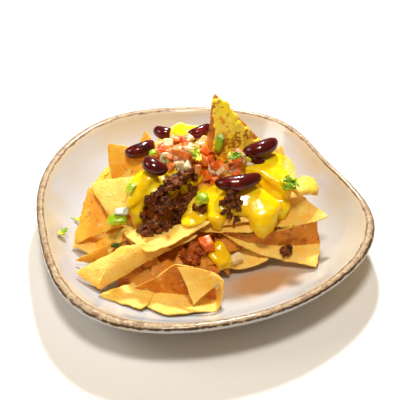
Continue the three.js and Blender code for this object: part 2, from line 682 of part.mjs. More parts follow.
// Melted cheese on the face of a standing chip: a thick skin over part of it.
function coatSolid(chip, { from, to, thick }) {
  const shape = chipShape(chip);
  const steps = COAT_STEPS;
  const points = [];
  for (let u = 0; u <= steps; u++)
    for (let v = 0; v <= steps; v++) {
      const a = THREE.MathUtils.lerp(from[0], to[0], u / steps);
      const b = THREE.MathUtils.lerp(from[1], to[1], v / steps) * (1 - a);
      points.push(chipPoint(a, b, shape));
    }
  const { triangles, rim } = gridFaces(steps, steps);
  const normals = sheetNormals(points, triangles);
  const facing = normals[0].y > 0 ? -1 : 1;
  const inside = CHIP_THICK / 2 + GAP + COAT_CLEAR;
  const skin = (i, out) => points[i].clone().addScaledVector(normals[i], facing * out);
  const inner = points.map((_, i) => skin(i, inside));
  const outer = points.map((_, i) => skin(i, inside + thick * (1 - COAT_UNEVEN * ((i * GOLDEN) % 1))));
  return facing > 0
    ? solidBetween(outer, inner, triangles, rim)
    : solidBetween(inner, outer, triangles, rim);
}

// ---- Assembly ----------------------------------------------------------------

const nachos = new THREE.Group();
const placed = []; // what later solids are cut by: each one so far, grown or raised by the gap

function touches(a, b) {
  const p = a.boundingBox();
  const q = b.boundingBox();
  return [0, 1, 2].every((i) => p.min[i] < q.max[i] && q.min[i] < p.max[i]);
}

// Adds one node: its solid, less what is in its way. `keepClear` is what it adds to that.
function add(name, material, solid, keepClear, inTheWay = placed) {
  let cut = solid;
  for (const other of inTheWay) if (touches(cut, other)) cut = cut.subtract(other);
  placed.push(...keepClear);
  const mesh = new THREE.Mesh(geometryFrom(largest(cut)), material.clone());
  mesh.name = name;
  nachos.add(mesh);
}

// Keeps what lies on a solid a gap above it.
const raised = (solid) => [solid, solid.translate([0, 0, GAP])];

const plate = plateSolid();
add("plate", MATERIAL.glaze, plate, raised(plate));
addGround(plate);

const pockets = raised(plate); // what the heap makes room for
for (const [name, chip] of Object.entries(CHIPS)) {
  add(name, MATERIAL.chip, chipSolid(chip), [chipSolid(chip, GAP)]);
  pockets.push(chipSolid({ ...chip, steps: POCKET_STEPS }, POCKET_GAP));
  addGround(chipSolid(chip), name);
}
for (const [name, chip] of Object.entries(FOLDED)) {
  add(name, MATERIAL.chip, foldedSolid(chip), [foldedSolid(chip, GAP)]);
  addGround(foldedSolid(chip), name);
  pockets.push(foldedSolid({ ...chip, steps: chip.steps.map((n) => Math.ceil(n / 2)) }, POCKET_GAP));
}
const heap = heapSolid();
add("chip_heap", MATERIAL.chip, heap, raised(heap), pockets);
addGround(heap);

// Spreads stack in this order, and are cut last, round what rests on them.
const spreads = [];
for (const [name, bands] of Object.entries(CHEESE)) {
  const solid = joined(bands.map((band) => bandSolid(band, BAND_SIDES)));
  addGround(solid);
  spreads.push([name, MATERIAL.cheese, solid]);
}
for (const [name, coat] of Object.entries(COATS))
  spreads.push([name, MATERIAL.cheese, coatSolid(CHIPS[coat.chip], coat)]);
for (const [name, { crumbs, ...band }] of Object.entries(BEEF)) {
  const solid = studdedBand({ ...band, thick: BEEF_THICK }, crumbs, 21 + crumbs, crumb);
  addGround(solid);
  spreads.push([name, MATERIAL.beef, solid]);
}
for (const [name, { cubes, ...band }] of Object.entries(PICO)) {
  const solid = studdedBand({ ...band, thick: PICO_THICK }, cubes, 41 + cubes, cube);
  addGround(solid);
  spreads.push([name, MATERIAL.pico, solid]);
}

function addResting(name, material, piece, shape) {
  const { low, sink = SINK } = piece;
  const exact = rested(shape(piece), sink, low ? LOW_GROUND : GROUND);
  const grown = shape(piece, GAP);
  exact.computeBoundingBox();
  grown.computeBoundingBox();
  grown.translate(0, 0, exact.boundingBox.min.z - GAP - grown.boundingBox.min.z);
  add(name, material, solidFrom(exact), [solidFrom(grown)]);
  addGround(solidFrom(exact));
}

const PIECES = [
  [BEANS, MATERIAL.bean, beanGeometry],
  [GREENS, MATERIAL.green, choppedGeometry],
  [ONIONS, MATERIAL.onion, choppedGeometry],
  [TOMATOES, MATERIAL.tomato, choppedGeometry],
];
for (const [table, material, shape] of PIECES)
  for (const [name, piece] of Object.entries(table)) addResting(name, material, piece, shape);

for (const [name, material, solid] of spreads) add(name, material, solid, raised(solid));

export default nachos;
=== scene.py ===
"""Looks of a plate of nachos: chips, cheese, minced beef, beans, pico and pepper on stoneware."""
import math
from itertools import combinations, product

import bpy
import numpy as np
from mathutils import Matrix, Vector
from mathutils.bvhtree import BVHTree


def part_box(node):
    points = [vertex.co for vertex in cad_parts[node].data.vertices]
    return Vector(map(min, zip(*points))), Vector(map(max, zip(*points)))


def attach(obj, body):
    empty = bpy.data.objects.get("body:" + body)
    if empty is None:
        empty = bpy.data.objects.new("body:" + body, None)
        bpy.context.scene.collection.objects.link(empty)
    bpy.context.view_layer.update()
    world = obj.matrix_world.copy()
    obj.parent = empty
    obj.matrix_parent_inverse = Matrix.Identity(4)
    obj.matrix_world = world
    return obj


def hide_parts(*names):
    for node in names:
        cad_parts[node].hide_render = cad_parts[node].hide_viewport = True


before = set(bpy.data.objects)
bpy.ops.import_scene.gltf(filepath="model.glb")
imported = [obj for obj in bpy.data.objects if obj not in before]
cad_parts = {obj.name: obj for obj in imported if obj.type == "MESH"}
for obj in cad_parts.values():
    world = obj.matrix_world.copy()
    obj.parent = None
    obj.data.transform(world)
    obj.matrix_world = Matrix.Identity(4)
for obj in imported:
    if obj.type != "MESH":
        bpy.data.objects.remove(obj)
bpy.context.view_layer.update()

MM = 0.001

# ---- The part's own dimensions, in millimetres, as in the CAD model ----

CHIP_THICK = 1.8
CREASE_TENSION = 0.15
ROW_TENSION = 0.3
PLATE_RADIUS = 115.8
# Waves of the rim: how many, how high and at what angle.
PLATE_WAVES = [
    (1, 3.9, 175), (2, 3.5, -137), (3, 3.2, -26), (4, 3.9, -112), (5, 1.2, -59), (6, 1.4, -23),
]
OUTLINE_FADE = 1.5
PLATE_SECTION = [
    (0.0, 0.0), (0.5, 0.0), (0.555, 1.2), (0.7, 5.0), (0.84, 12.0), (0.935, 20.5), (0.985, 26.5),
    (1.0, 29.5), (0.988, 31.5), (0.965, 31.8), (0.943, 30.0), (0.9, 24.5), (0.83, 17.0),
    (0.74, 11.0), (0.63, 7.6), (0.48, 6.4), (0.0, 6.0),
]
PLATE_SEGMENTS = 38

HEAP_BASE = 8
HEAP_CENTRE = (-6, -4)
HEAP_STEEPNESS = 0.7
MOUNDS = [(-4, 18, 73, 58, 49), (-24, -26, 44, 40, 20)]


def bent(p0, p1, p2, depth=3, arc=0.08, blunt=0.06, bend=(0.5, 0, 1)):
    """A chip: three corners, how deep and along which shares it bends, and its edge and tips."""
    return dict(corners=(p0, p1, p2), depth=depth, arc=arc, blunt=blunt, bend=bend)


CHIPS = {
    "chip_peak": bent((7, 34, 98), (1, 14, 44), (47, 20, 58), 5, 0.05, 0.04),
    "chip_back_left": bent((-64, 26, 60), (-62, 10, 35), (-28, 14, 61), 4),
    "chip_back_tip": bent((-39, 34, 66), (-50, 20, 45), (-25, 16, 52), 2),
    "chip_left_top": bent((-30, -7, 56), (-75, 0, 46), (-55, -33, 35), 4, 0.04, 0.04),
    "chip_left_wall": bent((-76, 1, 42), (-86, -33, 18), (-49, -25, 30), 3, 0.02),
    "chip_left_lower": bent((-88, -35, 20), (-66, -18, 24), (-54, -42, 12), -2, 0),
    "chip_left_shade": bent((-84, -48, 20), (-51, -32, 26), (-64, -42, 11), 2),
    "chip_left_front": bent((-80, -61, 21), (-49, -44, 28), (-63, -73, 16), 3, 0.05),
    "chip_front_fold": bent(
        (-53, -50, 33), (-18, -50, 33), (-65, -74, 18), 6, -0.02, bend=(1, 0, 0)),
    "chip_fold_under": bent((-66, -75, 18.5), (-36, -87, 15.5), (-28, -55, 15), -2.5, 0.05),
    "chip_scoop": bent((-53, -37, 38), (-34, -61, 39), (10, -33, 42), -3, 0),
    "chip_scoop_under": bent((-51, -36, 32), (-36, -58, 32), (-1, -41, 36), -3, 0),
    "chip_shelf": bent((25, -8, 54), (-4, -35, 38), (53, -30, 44), -2),
    "chip_shelf_low": bent((28, -14, 46), (-3, -37, 34), (47, -35, 36), -2, 0.06),
    "chip_right_shelf": bent((64, -12, 48), (39, -31, 33), (85, -23, 35), -5, 0.14, bend=(1, 0, 0)),
    "chip_right_round": bent((56, -22, 44), (66, 10, 41), (79, -8, 40), 5, 0.1),
    "chip_low_front": bent((25, -26, 24), (4, -48, 17), (46, -41, 15), -3, 0.25),
    "chip_right_back": bent((41, 14, 54), (54, 24, 61), (56, 8, 43)),
}
# The orange tone is partly the chips' own colour and partly painted shade, on chips that face away
# from the key light.
CHIP_TONES = {  # gold, where it isn't here
    "chip_peak": "toast", "chip_back_left": "orange", "chip_back_tip": "yellow",
    "chip_left_wall": "orange", "chip_left_shade": "orange",
}
# Folded chips: columns of (above, crease, below).
FOLDED = {
    "chip_front_cup": [
        [(-46, -67, 12), (-46, -68, 11), (-46, -69.5, 10.5)],
        [(-31, -68, 23), (-33, -68, 11), (-34, -82, 12)],
        [(-17, -66, 34), (-18, -70, 11), (-21, -92, 16)],
        [(-3, -67, 30), (-3, -71, 11), (-4, -88, 14)],
        [(9, -71, 17), (9.5, -75, 11), (9, -85, 11.5)],
        [(11, -69, 26), (12.5, -71, 23), (12.5, -78, 18)],
        [(3, -71, 34), (6, -72, 31), (9.5, -75, 26)],
        [(-15, -67, 33), (-11, -75, 26), (-5, -86, 17)],
    ],
    "chip_right_wall": [
        [(11, -34, 33), (11, -34.5, 32), (12, -35, 31)],
        [(31, -34, 29), (31, -35, 22.5), (33, -41, 20)],
        [(54, -31, 31), (55, -33, 18), (55, -43, 13)],
        [(75, -25, 34), (79, -31, 18), (74, -51, 15)],
    ],
}
# Cells along and across, and how many spans of columns the wall behind the crease takes.
FOLDED_GRID = {"chip_front_cup": (110, 36, 4), "chip_right_wall": (60, 36, 3)}
# Chips that toppings slide off, and chips that hang over what lies low in front.
STEEP = ("chip_peak", "chip_back_left", "chip_back_tip", "chip_right_back", "chip_right_round")
OVERHANGING = ("chip_scoop", "chip_scoop_under", "chip_shelf", "chip_shelf_low")
CARRYING_CHIPS = [
    bent((18, 8, 57), (60, -14, 47), (58, 22, 52)),
    bent((-4, 4, 55), (-46, -2, 47), (-26, -32, 42), 2),
]

# Spreads: paths of (x, y, half width), and for cheese the thickness in the middle.
CHEESE = {
    "cheese_left": [
        ([(3, 6, 7), (-11, -2, 8), (-25, -8, 9), (-36, -13, 8), (-43, -20, 6), (-41, -29, 4)], 3),
        ([(5, -9, 4), (0, -20, 6.5), (-5, -30, 6.5), (-11, -37, 4.5)], 2.5),
    ],
    "cheese_apron": [
        ([(1, -14, 7), (14, -17, 11), (30, -15, 13), (45, -7, 13), (54, 2, 8)], 4.5),
        ([(8, -20, 5), (9, -28, 5), (9.5, -35, 4)], 4),
        ([(33, -17, 12), (38, -25, 11), (39, -33, 7), (38, -38, 3.5)], 5),
        ([(42, -9, 11), (48, -16, 10), (52, -24, 5)], 4),
        ([(44, 2, 8), (51, 15, 5)], 4),
    ],
    "cheese_drip": [([(11, -38, 3), (11, -42, 3.5), (11, -47, 6.5), (10, -51, 4)], 3)],
    "cheese_back": [
        ([(-16, 57, 3), (-16, 44, 7), (0, 38, 8), (18, 40, 7), (27, 50, 6), (30, 60, 3)], 4),
    ],
}
BEEF = {
    "beef_main": [(-3, -5, 6), (-14, -17, 9.5), (-25, -28, 11.5), (-34, -36, 11), (-40, -43, 7)],
    "beef_middle": [(18, -21, 4), (19, -28, 5), (20, -33, 4.5)],
    "beef_small": [(-1, -25, 3), (1, -29, 3)],
    "beef_front": [(-12, -54, 6), (-6, -48, 8), (1, -42, 7)],
    "beef_crumb": [(53, -38, 3), (57, -40, 3)],
}
PICO = {
    "pico_left": [(-35, 13, 6), (-24, 16, 13), (-9, 14, 17), (4, 5, 10), (12, -2, 6)],
    "pico_right": [(16, 8, 6), (24, 9, 9), (32, 6, 6)],
}
LOW = ("cheese_drip", "beef_front")  # spreads under the overhanging chips

# ---- Small helpers ----


def seeded(seed):
    """The CAD model's own number generator, so that the same chips lie in the heap."""
    state = [seed]

    def draw(low, high):
        state[0] = (state[0] * 1664525 + 1013904223) % 4294967296
        return low + (high - low) * state[0] / 4294967296

    return draw


def noise(points, size, seed=0):
    """Smooth noise from -1 to 1 at points, with bumps about `size` across."""
    q = np.asarray(points, float) / size + 1000 + seed * 17.31
    cell = np.floor(q).astype(np.int64)
    t = q - cell
    t = t * t * (3 - 2 * t)
    total = np.zeros(len(q))
    for corner in product((0, 1), repeat=3):
        c = cell + corner
        h = (c[:, 0] * 73856093) ^ (c[:, 1] * 19349663) ^ (c[:, 2] * 83492791)
        h = (h ^ (h >> 13)) * 1274126177 & 0x7FFFFFFF
        h = (h ^ (h >> 11)) * 668265263 & 0x7FFFFFFF
        weight = np.prod(np.where(corner, t, 1 - t), axis=1)
        total += weight * (h / 0x7FFFFFFF)
    return 2 * total - 1


def noise_vectors(points, size, seed):
    return np.stack([noise(points, size, seed + 31 * k + 1) for k in range(3)], axis=1)


def unit(v):
    return v / np.maximum(np.linalg.norm(v, axis=-1, keepdims=True), 1e-9)


def vertex_normals(points, triangles):
    triangles = np.asarray(triangles)
    a, b, c = (points[triangles[:, k]] for k in range(3))
    face = np.cross(b - a, c - a)
    normals = np.zeros_like(points)
    for k in range(3):
        np.add.at(normals, triangles[:, k], face)
    return unit(normals)


def rotation(rng):
    """A random turn, as a 3 x 3 matrix."""
    w, *axis = unit(rng.normal(size=4))
    cross = np.cross(np.eye(3), axis)
    return np.eye(3) + 2 * w * cross + 2 * cross @ cross


def turned(points, heading, tip, roll=0.0):
    """Points rolled about x, tipped up along x, then headed round z, in degrees."""
    turn = np.eye(3)
    for axis, angle in (("Z", heading), ("Y", -tip), ("X", roll)):
        turn = turn @ np.array(Matrix.Rotation(math.radians(angle), 3, axis))
    return points @ turn.T


def linked(name, data):
    """A new object in the scene."""
    obj = bpy.data.objects.new(name, data)
    bpy.context.scene.collection.objects.link(obj)
    return obj


class Mesh:
    """Points and faces that are joined into one object, with a material number per face."""

    def __init__(self, *first):
        self.points, self.faces, self.numbers, self.count = [], [], [], 0
        if first:
            self.add(*first)

    def add(self, points, faces, number=0):
        self.points.append(np.asarray(points, float))
        self.faces.extend([tuple(int(i) + self.count for i in face) for face in faces])
        self.numbers.extend([number] * len(faces) if np.isscalar(number) else list(number))
        self.count += len(points)

    def whole(self):
        return np.concatenate(self.points), self.faces

    def build(self, name, materials, crisp=0):
        """The object; edges sharper than `crisp` degrees stay sharp."""
        data = bpy.data.meshes.new(name)
        data.from_pydata((self.whole()[0] * MM).tolist(), [], self.faces)
        for material in materials:
            data.materials.append(material)
        data.polygons.foreach_set("material_index", np.array(self.numbers, np.int32))
        data.shade_smooth()
        if crisp:
            data.set_sharp_from_angle(angle=math.radians(crisp))
        data.update()
        return linked(name, data)


def placed(obj, slot, node):
    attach(obj, "root")
    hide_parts(node)


def remeshed(obj, relief, voxel, smoothing=0, factor=0.6):
    """Runs the pieces of obj together into one skin, with relief(points) along its normals."""
    materials = list(obj.data.materials)
    remesh = obj.modifiers.new("remesh", "REMESH")
    remesh.mode, remesh.voxel_size = "VOXEL", voxel * MM
    if smoothing:
        smooth = obj.modifiers.new("smooth", "SMOOTH")
        smooth.factor, smooth.iterations = factor, smoothing
    bpy.context.view_layer.update()
    shaped = obj.evaluated_get(bpy.context.evaluated_depsgraph_get())
    made = bpy.data.meshes.new_from_object(shaped)
    obj.modifiers.clear()
    old, obj.data = obj.data, made
    made.name = old.name
    bpy.data.meshes.remove(old)
    made.shade_smooth()
    points = vertex_values(made.vertices, "co") / MM
    points += vertex_values(made.vertex_normals, "vector") * relief(points)[:, None]
    made.vertices.foreach_set("co", (points * MM).ravel())
    made.update()
    made.materials.clear()
    for material in materials:
        made.materials.append(material)
    return points, [tuple(p.vertices) for p in made.polygons]


def vertex_values(owner, key):
    values = np.zeros(len(owner) * 3)
    owner.foreach_get(key, values)
    return values.reshape(-1, 3)


# ---- Materials ----


def linear(colour):
    """A colour of 0 to 255, as on a screen, in Blender's linear values."""
    shares = [c / 255 for c in colour]
    return (*(c / 12.92 if c < 0.04045 else ((c + 0.055) / 1.055) ** 2.4 for c in shares), 1)


class Finish:
    """A material that is built up from a base colour and layers of noise."""

    def __init__(self, name, colour, flesh=None, **settings):
        """The flesh is how much light goes in, how deep, and how much deeper red goes than blue."""
        self.material = bpy.data.materials.new(name)
        self.material.use_nodes = True
        self.tree = self.material.node_tree
        self.shader = self.tree.nodes["Principled BSDF"]
        if flesh:
            parts = ("subsurface_weight", "subsurface_scale", "subsurface_radius")
            settings.update(zip(parts, flesh))
        for key, value in settings.items():
            socket = key.replace("_", " ").title().replace("Ior", "IOR")
            self.shader.inputs[socket].default_value = value
        self.where = self.node("ShaderNodeTexCoord", out="Object")
        self.colour = linear(colour)
        self.height = None

    def node(self, kind, inputs=None, out=0, **settings):
        """The output of a new node; inputs are numbers or the outputs of other nodes."""
        node = self.tree.nodes.new(kind)
        for key, value in settings.items():
            setattr(node, key, value)
        for key, value in (inputs or {}).items():
            if isinstance(value, bpy.types.NodeSocket):
                self.tree.links.new(value, node.inputs[key])
            else:
                node.inputs[key].default_value = value
        return node.outputs[out]

    def moved(self, *offset):
        return self.node("ShaderNodeVectorMath", {0: self.where, 1: offset})

    def noise(self, size, detail=2.0, roughness=0.5, distortion=0.0, shift=0.0):
        """Noise of 0 to 1, with features of `size` millimetres."""
        where = self.moved(shift, shift * 0.7, -shift) if shift else self.where
        settings = {"Vector": where, "Scale": 1 / (size * MM), "Detail": detail,
                    "Roughness": roughness, "Distortion": distortion}
        return self.node("ShaderNodeTexNoise", settings, "Fac")

    def cells(self, size, shift):
        settings = {"Vector": self.moved(shift, shift, shift), "Scale": 1 / (size * MM)}
        return self.node("ShaderNodeTexVoronoi", settings, "Distance")

    def ramp(self, value, low, high):
        """0 below low, 1 above high, smooth between; low may be above high."""
        limits = {"Value": value, "From Min": low, "From Max": high}
        return self.node("ShaderNodeMapRange", limits, interpolation_type="SMOOTHSTEP")

    def times(self, a, b):
        return self.node("ShaderNodeMath", {0: a, 1: b}, operation="MULTIPLY")

    def plus(self, a, b):
        return self.node("ShaderNodeMath", {0: a, 1: b}, operation="ADD")

    def layer(self, colour, share):
        inputs = {"Factor": share, "A": self.colour, "B": linear(colour)}
        self.colour = self.node("ShaderNodeMix", inputs, "Result", data_type="RGBA")

    def spots(self, colour, low, high, *noise, share=1.0, within=None, **settings):
        """A layer where noise passes from low to high, as far as share and within let it."""
        amount = self.ramp(self.noise(*noise, **settings), low, high)
        if share < 1:
            amount = self.times(amount, share)
        self.layer(colour, amount if within is None else self.times(within, amount))

    def bump(self, value, height):
        """Adds relief of `height` millimetres."""
        part = self.times(value, height * MM)
        self.height = part if self.height is None else self.plus(self.height, part)

    def feed(self, socket, value):
        self.tree.links.new(value, self.shader.inputs[socket])

    def rough(self, value, low, high):
        limits = {"Value": value, "To Min": low, "To Max": high}
        self.feed("Roughness", self.node("ShaderNodeMapRange", limits))

    def done(self):
        self.feed("Base Color", self.colour)
        if self.height is not None:
            settings = {"Height": self.height, "Strength": 1.0, "Distance": 1.0}
            self.feed("Normal", self.node("ShaderNodeBump", settings))
        return self.material


def chip_material(name, base, warm, toast, toasted=0.6, freckles=0.72):
    """Fried corn: a grainy warm skin with blisters, dark freckles and toasted patches."""
    f = Finish(name, base, (0.6, 0.0018, (1.0, 0.4, 0.06)), roughness=0.5, specular_ior_level=0.3)
    f.spots(warm, 0.42, 0.66, 16, 3)
    f.spots((255, 232, 158), 0.54, 0.72, 5, 5, 0.7, share=0.6, shift=1.3)
    f.spots(toast, toasted, toasted + 0.14, 6, 5, 0.65, share=0.8, shift=0.3)
    f.spots(toast, 0.56, 0.72, 0.9, 3, 0.7, share=0.5, shift=2.1)
    f.spots((96, 50, 12), freckles, freckles + 0.04, 1.2, share=0.9, shift=0.7)
    f.rough(f.noise(5, 3), 0.36, 0.6)
    f.bump(f.noise(0.7, 4, 0.7), 0.22)
    f.bump(f.ramp(f.cells(3.2, 0.4), 0.42, 0.12), 0.2)
    f.bump(f.noise(4.5, 3, 0.6), 0.4)
    return f.done()


CHIP = {
    "gold": chip_material("chip_gold", (254, 210, 104), (252, 194, 72), (234, 150, 44)),
    "yellow": chip_material("chip_yellow", (254, 200, 60), (250, 186, 40), (234, 148, 30)),
    "orange": chip_material("chip_orange", (254, 196, 60), (250, 178, 42), (226, 136, 30), 0.56),
    "toast": chip_material("chip_toast", (222, 158, 62), (198, 122, 38), (146, 80, 22), 0.5, 0.66),
    # Painted shade: a darker orange-brown for chip faces that lie in shade.
    "painted_shade": chip_material(
        "chip_painted_shade", (226, 146, 40), (206, 118, 26), (164, 84, 18), 0.52, 0.68),
    # Deep: a darker orange, painted shade on the core of the heap that shows between the chips;
    # also one tone among the shards.
    "deep": chip_material("chip_deep", (236, 166, 56), (220, 136, 38), (188, 102, 26), 0.55),
}


def cheese_finish(name, base, spot, spotted, gloss=(0.1, 0.26), size=6, pale=0.7):
    f = Finish(name, base, (0.35, 0.003, (1.0, 0.75, 0.08)), roughness=0.2, specular_ior_level=0.5)
    f.spots((255, 226, 30), 0.45, 0.66, 10, shift=0.2)
    # Pale streaks: partly whitish cheese, partly painted highlight of the gloss.
    f.spots((255, 234, 130), 0.58, 0.74, 7, 4, 0.6, share=pale, distortion=1.2, shift=1.7)
    f.spots(spot, spotted, spotted + 0.12, size, 4, 0.65, shift=0.9)
    f.rough(f.noise(6, 3), *gloss)
    f.bump(f.noise(4.5), 0.25)
    return f


def toasted_cheese():
    """Cheese baked onto the upright chip, browned in patches down to the corn."""
    f = cheese_finish("cheese_toasted", (255, 220, 70), (232, 148, 38), 0.54, (0.25, 0.5), 9, 0.9)
    f.spots((166, 88, 16), 0.53, 0.6, 8, 5, 0.7, share=0.9, shift=2.9)
    f.spots((92, 44, 12), 0.62, 0.69, 3.4, 4, 0.7, share=0.8, shift=3.4)
    f.spots((176, 176, 44), 0.7, 0.76, 5, 3, 0.6, share=0.8, shift=4.6)
    return f.done()


CHEESE_PLAIN = cheese_finish("cheese_melted", (255, 207, 6), (255, 188, 6), 0.64).done()
CHEESE_TOASTED = toasted_cheese()
CHEESE_THIN = cheese_finish(
    "cheese_thin", (252, 206, 88), (226, 152, 56), 0.52, (0.3, 0.5), 7, 0.8).done()


def beef_material(name, base, dark, light, juice):
    f = Finish(name, base, (0.1, 0.002, (1.0, 0.3, 0.15)), roughness=0.35,
               specular_ior_level=0.5, specular_tint=(1.0, 0.76, 0.5, 1))
    f.spots(dark, 0.46, 0.6, 4, 4, 0.6, shift=0.4)
    f.spots(light, 0.55, 0.7, 2.4, 4, 0.65)
    f.spots(juice, 0.66, 0.76, 1.1, 3, shift=0.8)
    f.spots((34, 13, 7), 0.58, 0.7, 1.6, 3, shift=1.5)
    f.rough(f.noise(1.4, 3), 0.16, 0.5)
    f.bump(f.noise(0.7, 4, 0.65), 0.4)
    f.bump(f.noise(1.8, 3, 0.6), 0.5)
    return f.done()


def bean_material():
    f = Finish("bean_skin", (76, 10, 14), roughness=0.12, specular_ior_level=0.55,
               specular_tint=(1.0, 0.86, 0.84, 1))
    f.spots((114, 20, 22), 0.5, 0.72, 8)
    f.spots((46, 8, 12), 0.5, 0.7, 6, 3, shift=0.5)
    f.rough(f.noise(3), 0.08, 0.22)
    f.bump(f.noise(5), 0.3)
    return f.done()


def tomato_material(name, base, deep):
    f = Finish(name, base, (0.5, 0.004, (1.0, 0.35, 0.2)), roughness=0.2, specular_ior_level=0.6)
    f.spots(deep, 0.5, 0.64, 6, 3)
    f.spots((250, 176, 120), 0.52, 0.68, 3.2, 3, share=0.75, shift=0.6)
    f.rough(f.noise(2), 0.22, 0.42)
    f.bump(f.noise(1.6, 3), 0.12)
    return f.done()


def onion_material(name, base, tint):
    f = Finish(name, base, (0.6, 0.005, (1.0, 0.7, 0.45)), roughness=0.22, specular_ior_level=0.6)
    f.spots(tint, 0.44, 0.62, 5)
    f.spots((255, 236, 206), 0.58, 0.72, 1.8, share=0.5, distortion=1.0, shift=0.3)
    f.rough(f.noise(2), 0.2, 0.4)
    f.bump(f.noise(1.4, distortion=1.5), 0.15)
    return f.done()


def green_material(name, base, dark, light):
    f = Finish(name, base, (0.4, 0.004, (0.8, 1.0, 0.15)), roughness=0.3, specular_ior_level=0.55)
    f.spots(dark, 0.5, 0.66, 5, 3)
    f.spots(light, 0.54, 0.7, 2.8, 3, shift=0.4)
    f.rough(f.noise(2), 0.14, 0.4)
    f.bump(f.noise(1.4, 3, 0.6), 0.3)
    return f.done()


BEEF_FRIED = beef_material(
    "beef_fried", (114, 52, 22), (46, 19, 11), (178, 96, 38), (226, 146, 74))
BEEF_SAUCY = beef_material(
    "beef_saucy", (190, 98, 32), (128, 50, 18), (236, 140, 48), (246, 186, 100))
BEAN_FINISH = bean_material()
TOMATO = tomato_material("tomato_flesh", (244, 120, 26), (230, 76, 14))
TOMATO_PALE = tomato_material("tomato_pale", (246, 156, 70), (236, 112, 44))
ONION = onion_material("onion_white", (246, 230, 190), (240, 204, 150))
ONION_PINK = onion_material("onion_pink", (246, 204, 158), (232, 148, 100))
ONION_PALE = onion_material("onion_pale", (196, 200, 176), (170, 178, 150))
GREEN = green_material("green_flesh", (212, 218, 30), (168, 190, 14), (242, 236, 100))
GREEN_SKIN = green_material("green_skin", (152, 180, 10), (92, 134, 8), (204, 214, 30))
LEAF = green_material("green_leaf", (130, 172, 26), (52, 104, 16), (206, 222, 70))
HERB = green_material("green_wilted", (74, 96, 22), (34, 52, 14), (120, 140, 34))


def plate_material():
    """Cream glaze, thin on the rim: a pale tan band, specked, between two fine brown lines, and a
    painted warm shadow on the floor in front of the heap.
    """
    f = Finish("glaze_cream", (194, 195, 198), roughness=0.16, specular_ior_level=0.5,
               coat_weight=0.3, coat_roughness=0.05)
    f.spots((194, 188, 176), 0.45, 0.7, 60, 3, share=0.8)
    f.spots((202, 188, 162), 0.6, 0.8, 9, 3, 0.6, share=0.4, shift=0.2)
    f.spots((110, 84, 54), 0.8, 0.83, 1.5, share=0.6, shift=1.1)
    from_rim, painted_shadow = (f.node("ShaderNodeAttribute", None, "Fac", attribute_name=name)
                        for name in ("from_rim", "painted_shadow"))
    limits = {"From Min": 0.3, "From Max": 0.7, "To Min": -0.7, "To Max": 0.7}
    wobble = f.node("ShaderNodeMapRange", {"Value": f.noise(6, 4, 0.65), **limits})
    line = f.plus(from_rim, wobble)
    band = f.times(f.ramp(line, 2.9, 2.3), f.ramp(line, -3.0, -2.5))
    inner = f.times(f.ramp(line, 1.5, 2.1), f.ramp(line, 3.3, 2.7))
    outer = f.times(f.ramp(line, -1.4, -2.1), f.ramp(line, -3.6, -2.9))
    # Painted warm shadow in front of the heap, laid over the glaze.
    painted_shadow_share = f.ramp(f.plus(painted_shadow, f.times(wobble, 0.06)), 0.1, 0.9)
    f.layer((196, 134, 52), f.times(painted_shadow_share, 0.8))
    thinning = f.times(f.ramp(line, -3.2, -2.6), 0.8)
    f.layer((206, 184, 146), f.times(f.ramp(line, 9.0, 2.5), thinning))
    f.spots((200, 186, 160), 0.45, 0.6, 70, within=f.ramp(line, 30.0, 6.0), shift=0.6)
    f.layer((176, 150, 112), band)
    f.spots((138, 102, 64), 0.46, 0.6, 5.0, 5, 0.7, within=band)
    f.spots((206, 188, 154), 0.54, 0.66, 2.6, 4, 0.65, share=0.8, within=band, shift=1.6)
    f.spots((100, 66, 36), 0.58, 0.66, 1.0, 3, 0.6, within=band, shift=0.5)
    f.spots((112, 78, 44), 0.4, 0.58, 11, 4, 0.65, share=0.9, within=inner, shift=0.4)
    f.spots((70, 44, 22), 0.34, 0.48, 7, 4, 0.65, within=outer, shift=2.4)
    f.rough(band, 0.16, 0.5)
    f.bump(f.times(band, f.noise(1.2, 3, 0.6)), 0.2)
    f.bump(f.noise(26), 0.4)
    return f.done()


# ---- Plate ----


def plate_radius(share, angle):
    waves = sum(h * np.cos(n * angle - math.radians(p)) for n, h, p in PLATE_WAVES)
    return share * (PLATE_RADIUS + waves * share ** OUTLINE_FADE)


def smooth_line(points, per_span, tension=0.5):
    """A curve through points, as three.js draws a catmullrom one."""
    points = np.asarray(points, float)
    ends = np.vstack([2 * points[0] - points[1], points, 2 * points[-1] - points[-2]])
    s = np.arange(per_span)[:, None] / per_span
    out = []
    for k in range(len(points) - 1):
        p0, p1, p2, p3 = ends[k:k + 4]
        m1, m2 = tension * (p2 - p0), tension * (p3 - p1)
        out.append((2 * s**3 - 3 * s**2 + 1) * p1 + (s**3 - 2 * s**2 + s) * m1
                   + (-2 * s**3 + 3 * s**2) * p2 + (s**3 - s**2) * m2)
    return np.vstack(out + [points[-1]])


def flat_grid(u, v):
    return (g.ravel() for g in np.meshgrid(u, v, indexing="ij"))


def ring_faces(rings, sides, first=0):
    """Four-sided faces between rings of points."""
    faces = []
    for ring, k in product(range(rings - 1), range(sides)):
        a, b = (first + ring * sides + n for n in (k, (k + 1) % sides))
        faces.append((a, b, b + sides, a + sides))
    return faces


def distance_along(points):
    steps = np.linalg.norm(np.diff(points, axis=0), axis=1)
    return np.concatenate([[0], np.cumsum(steps)])


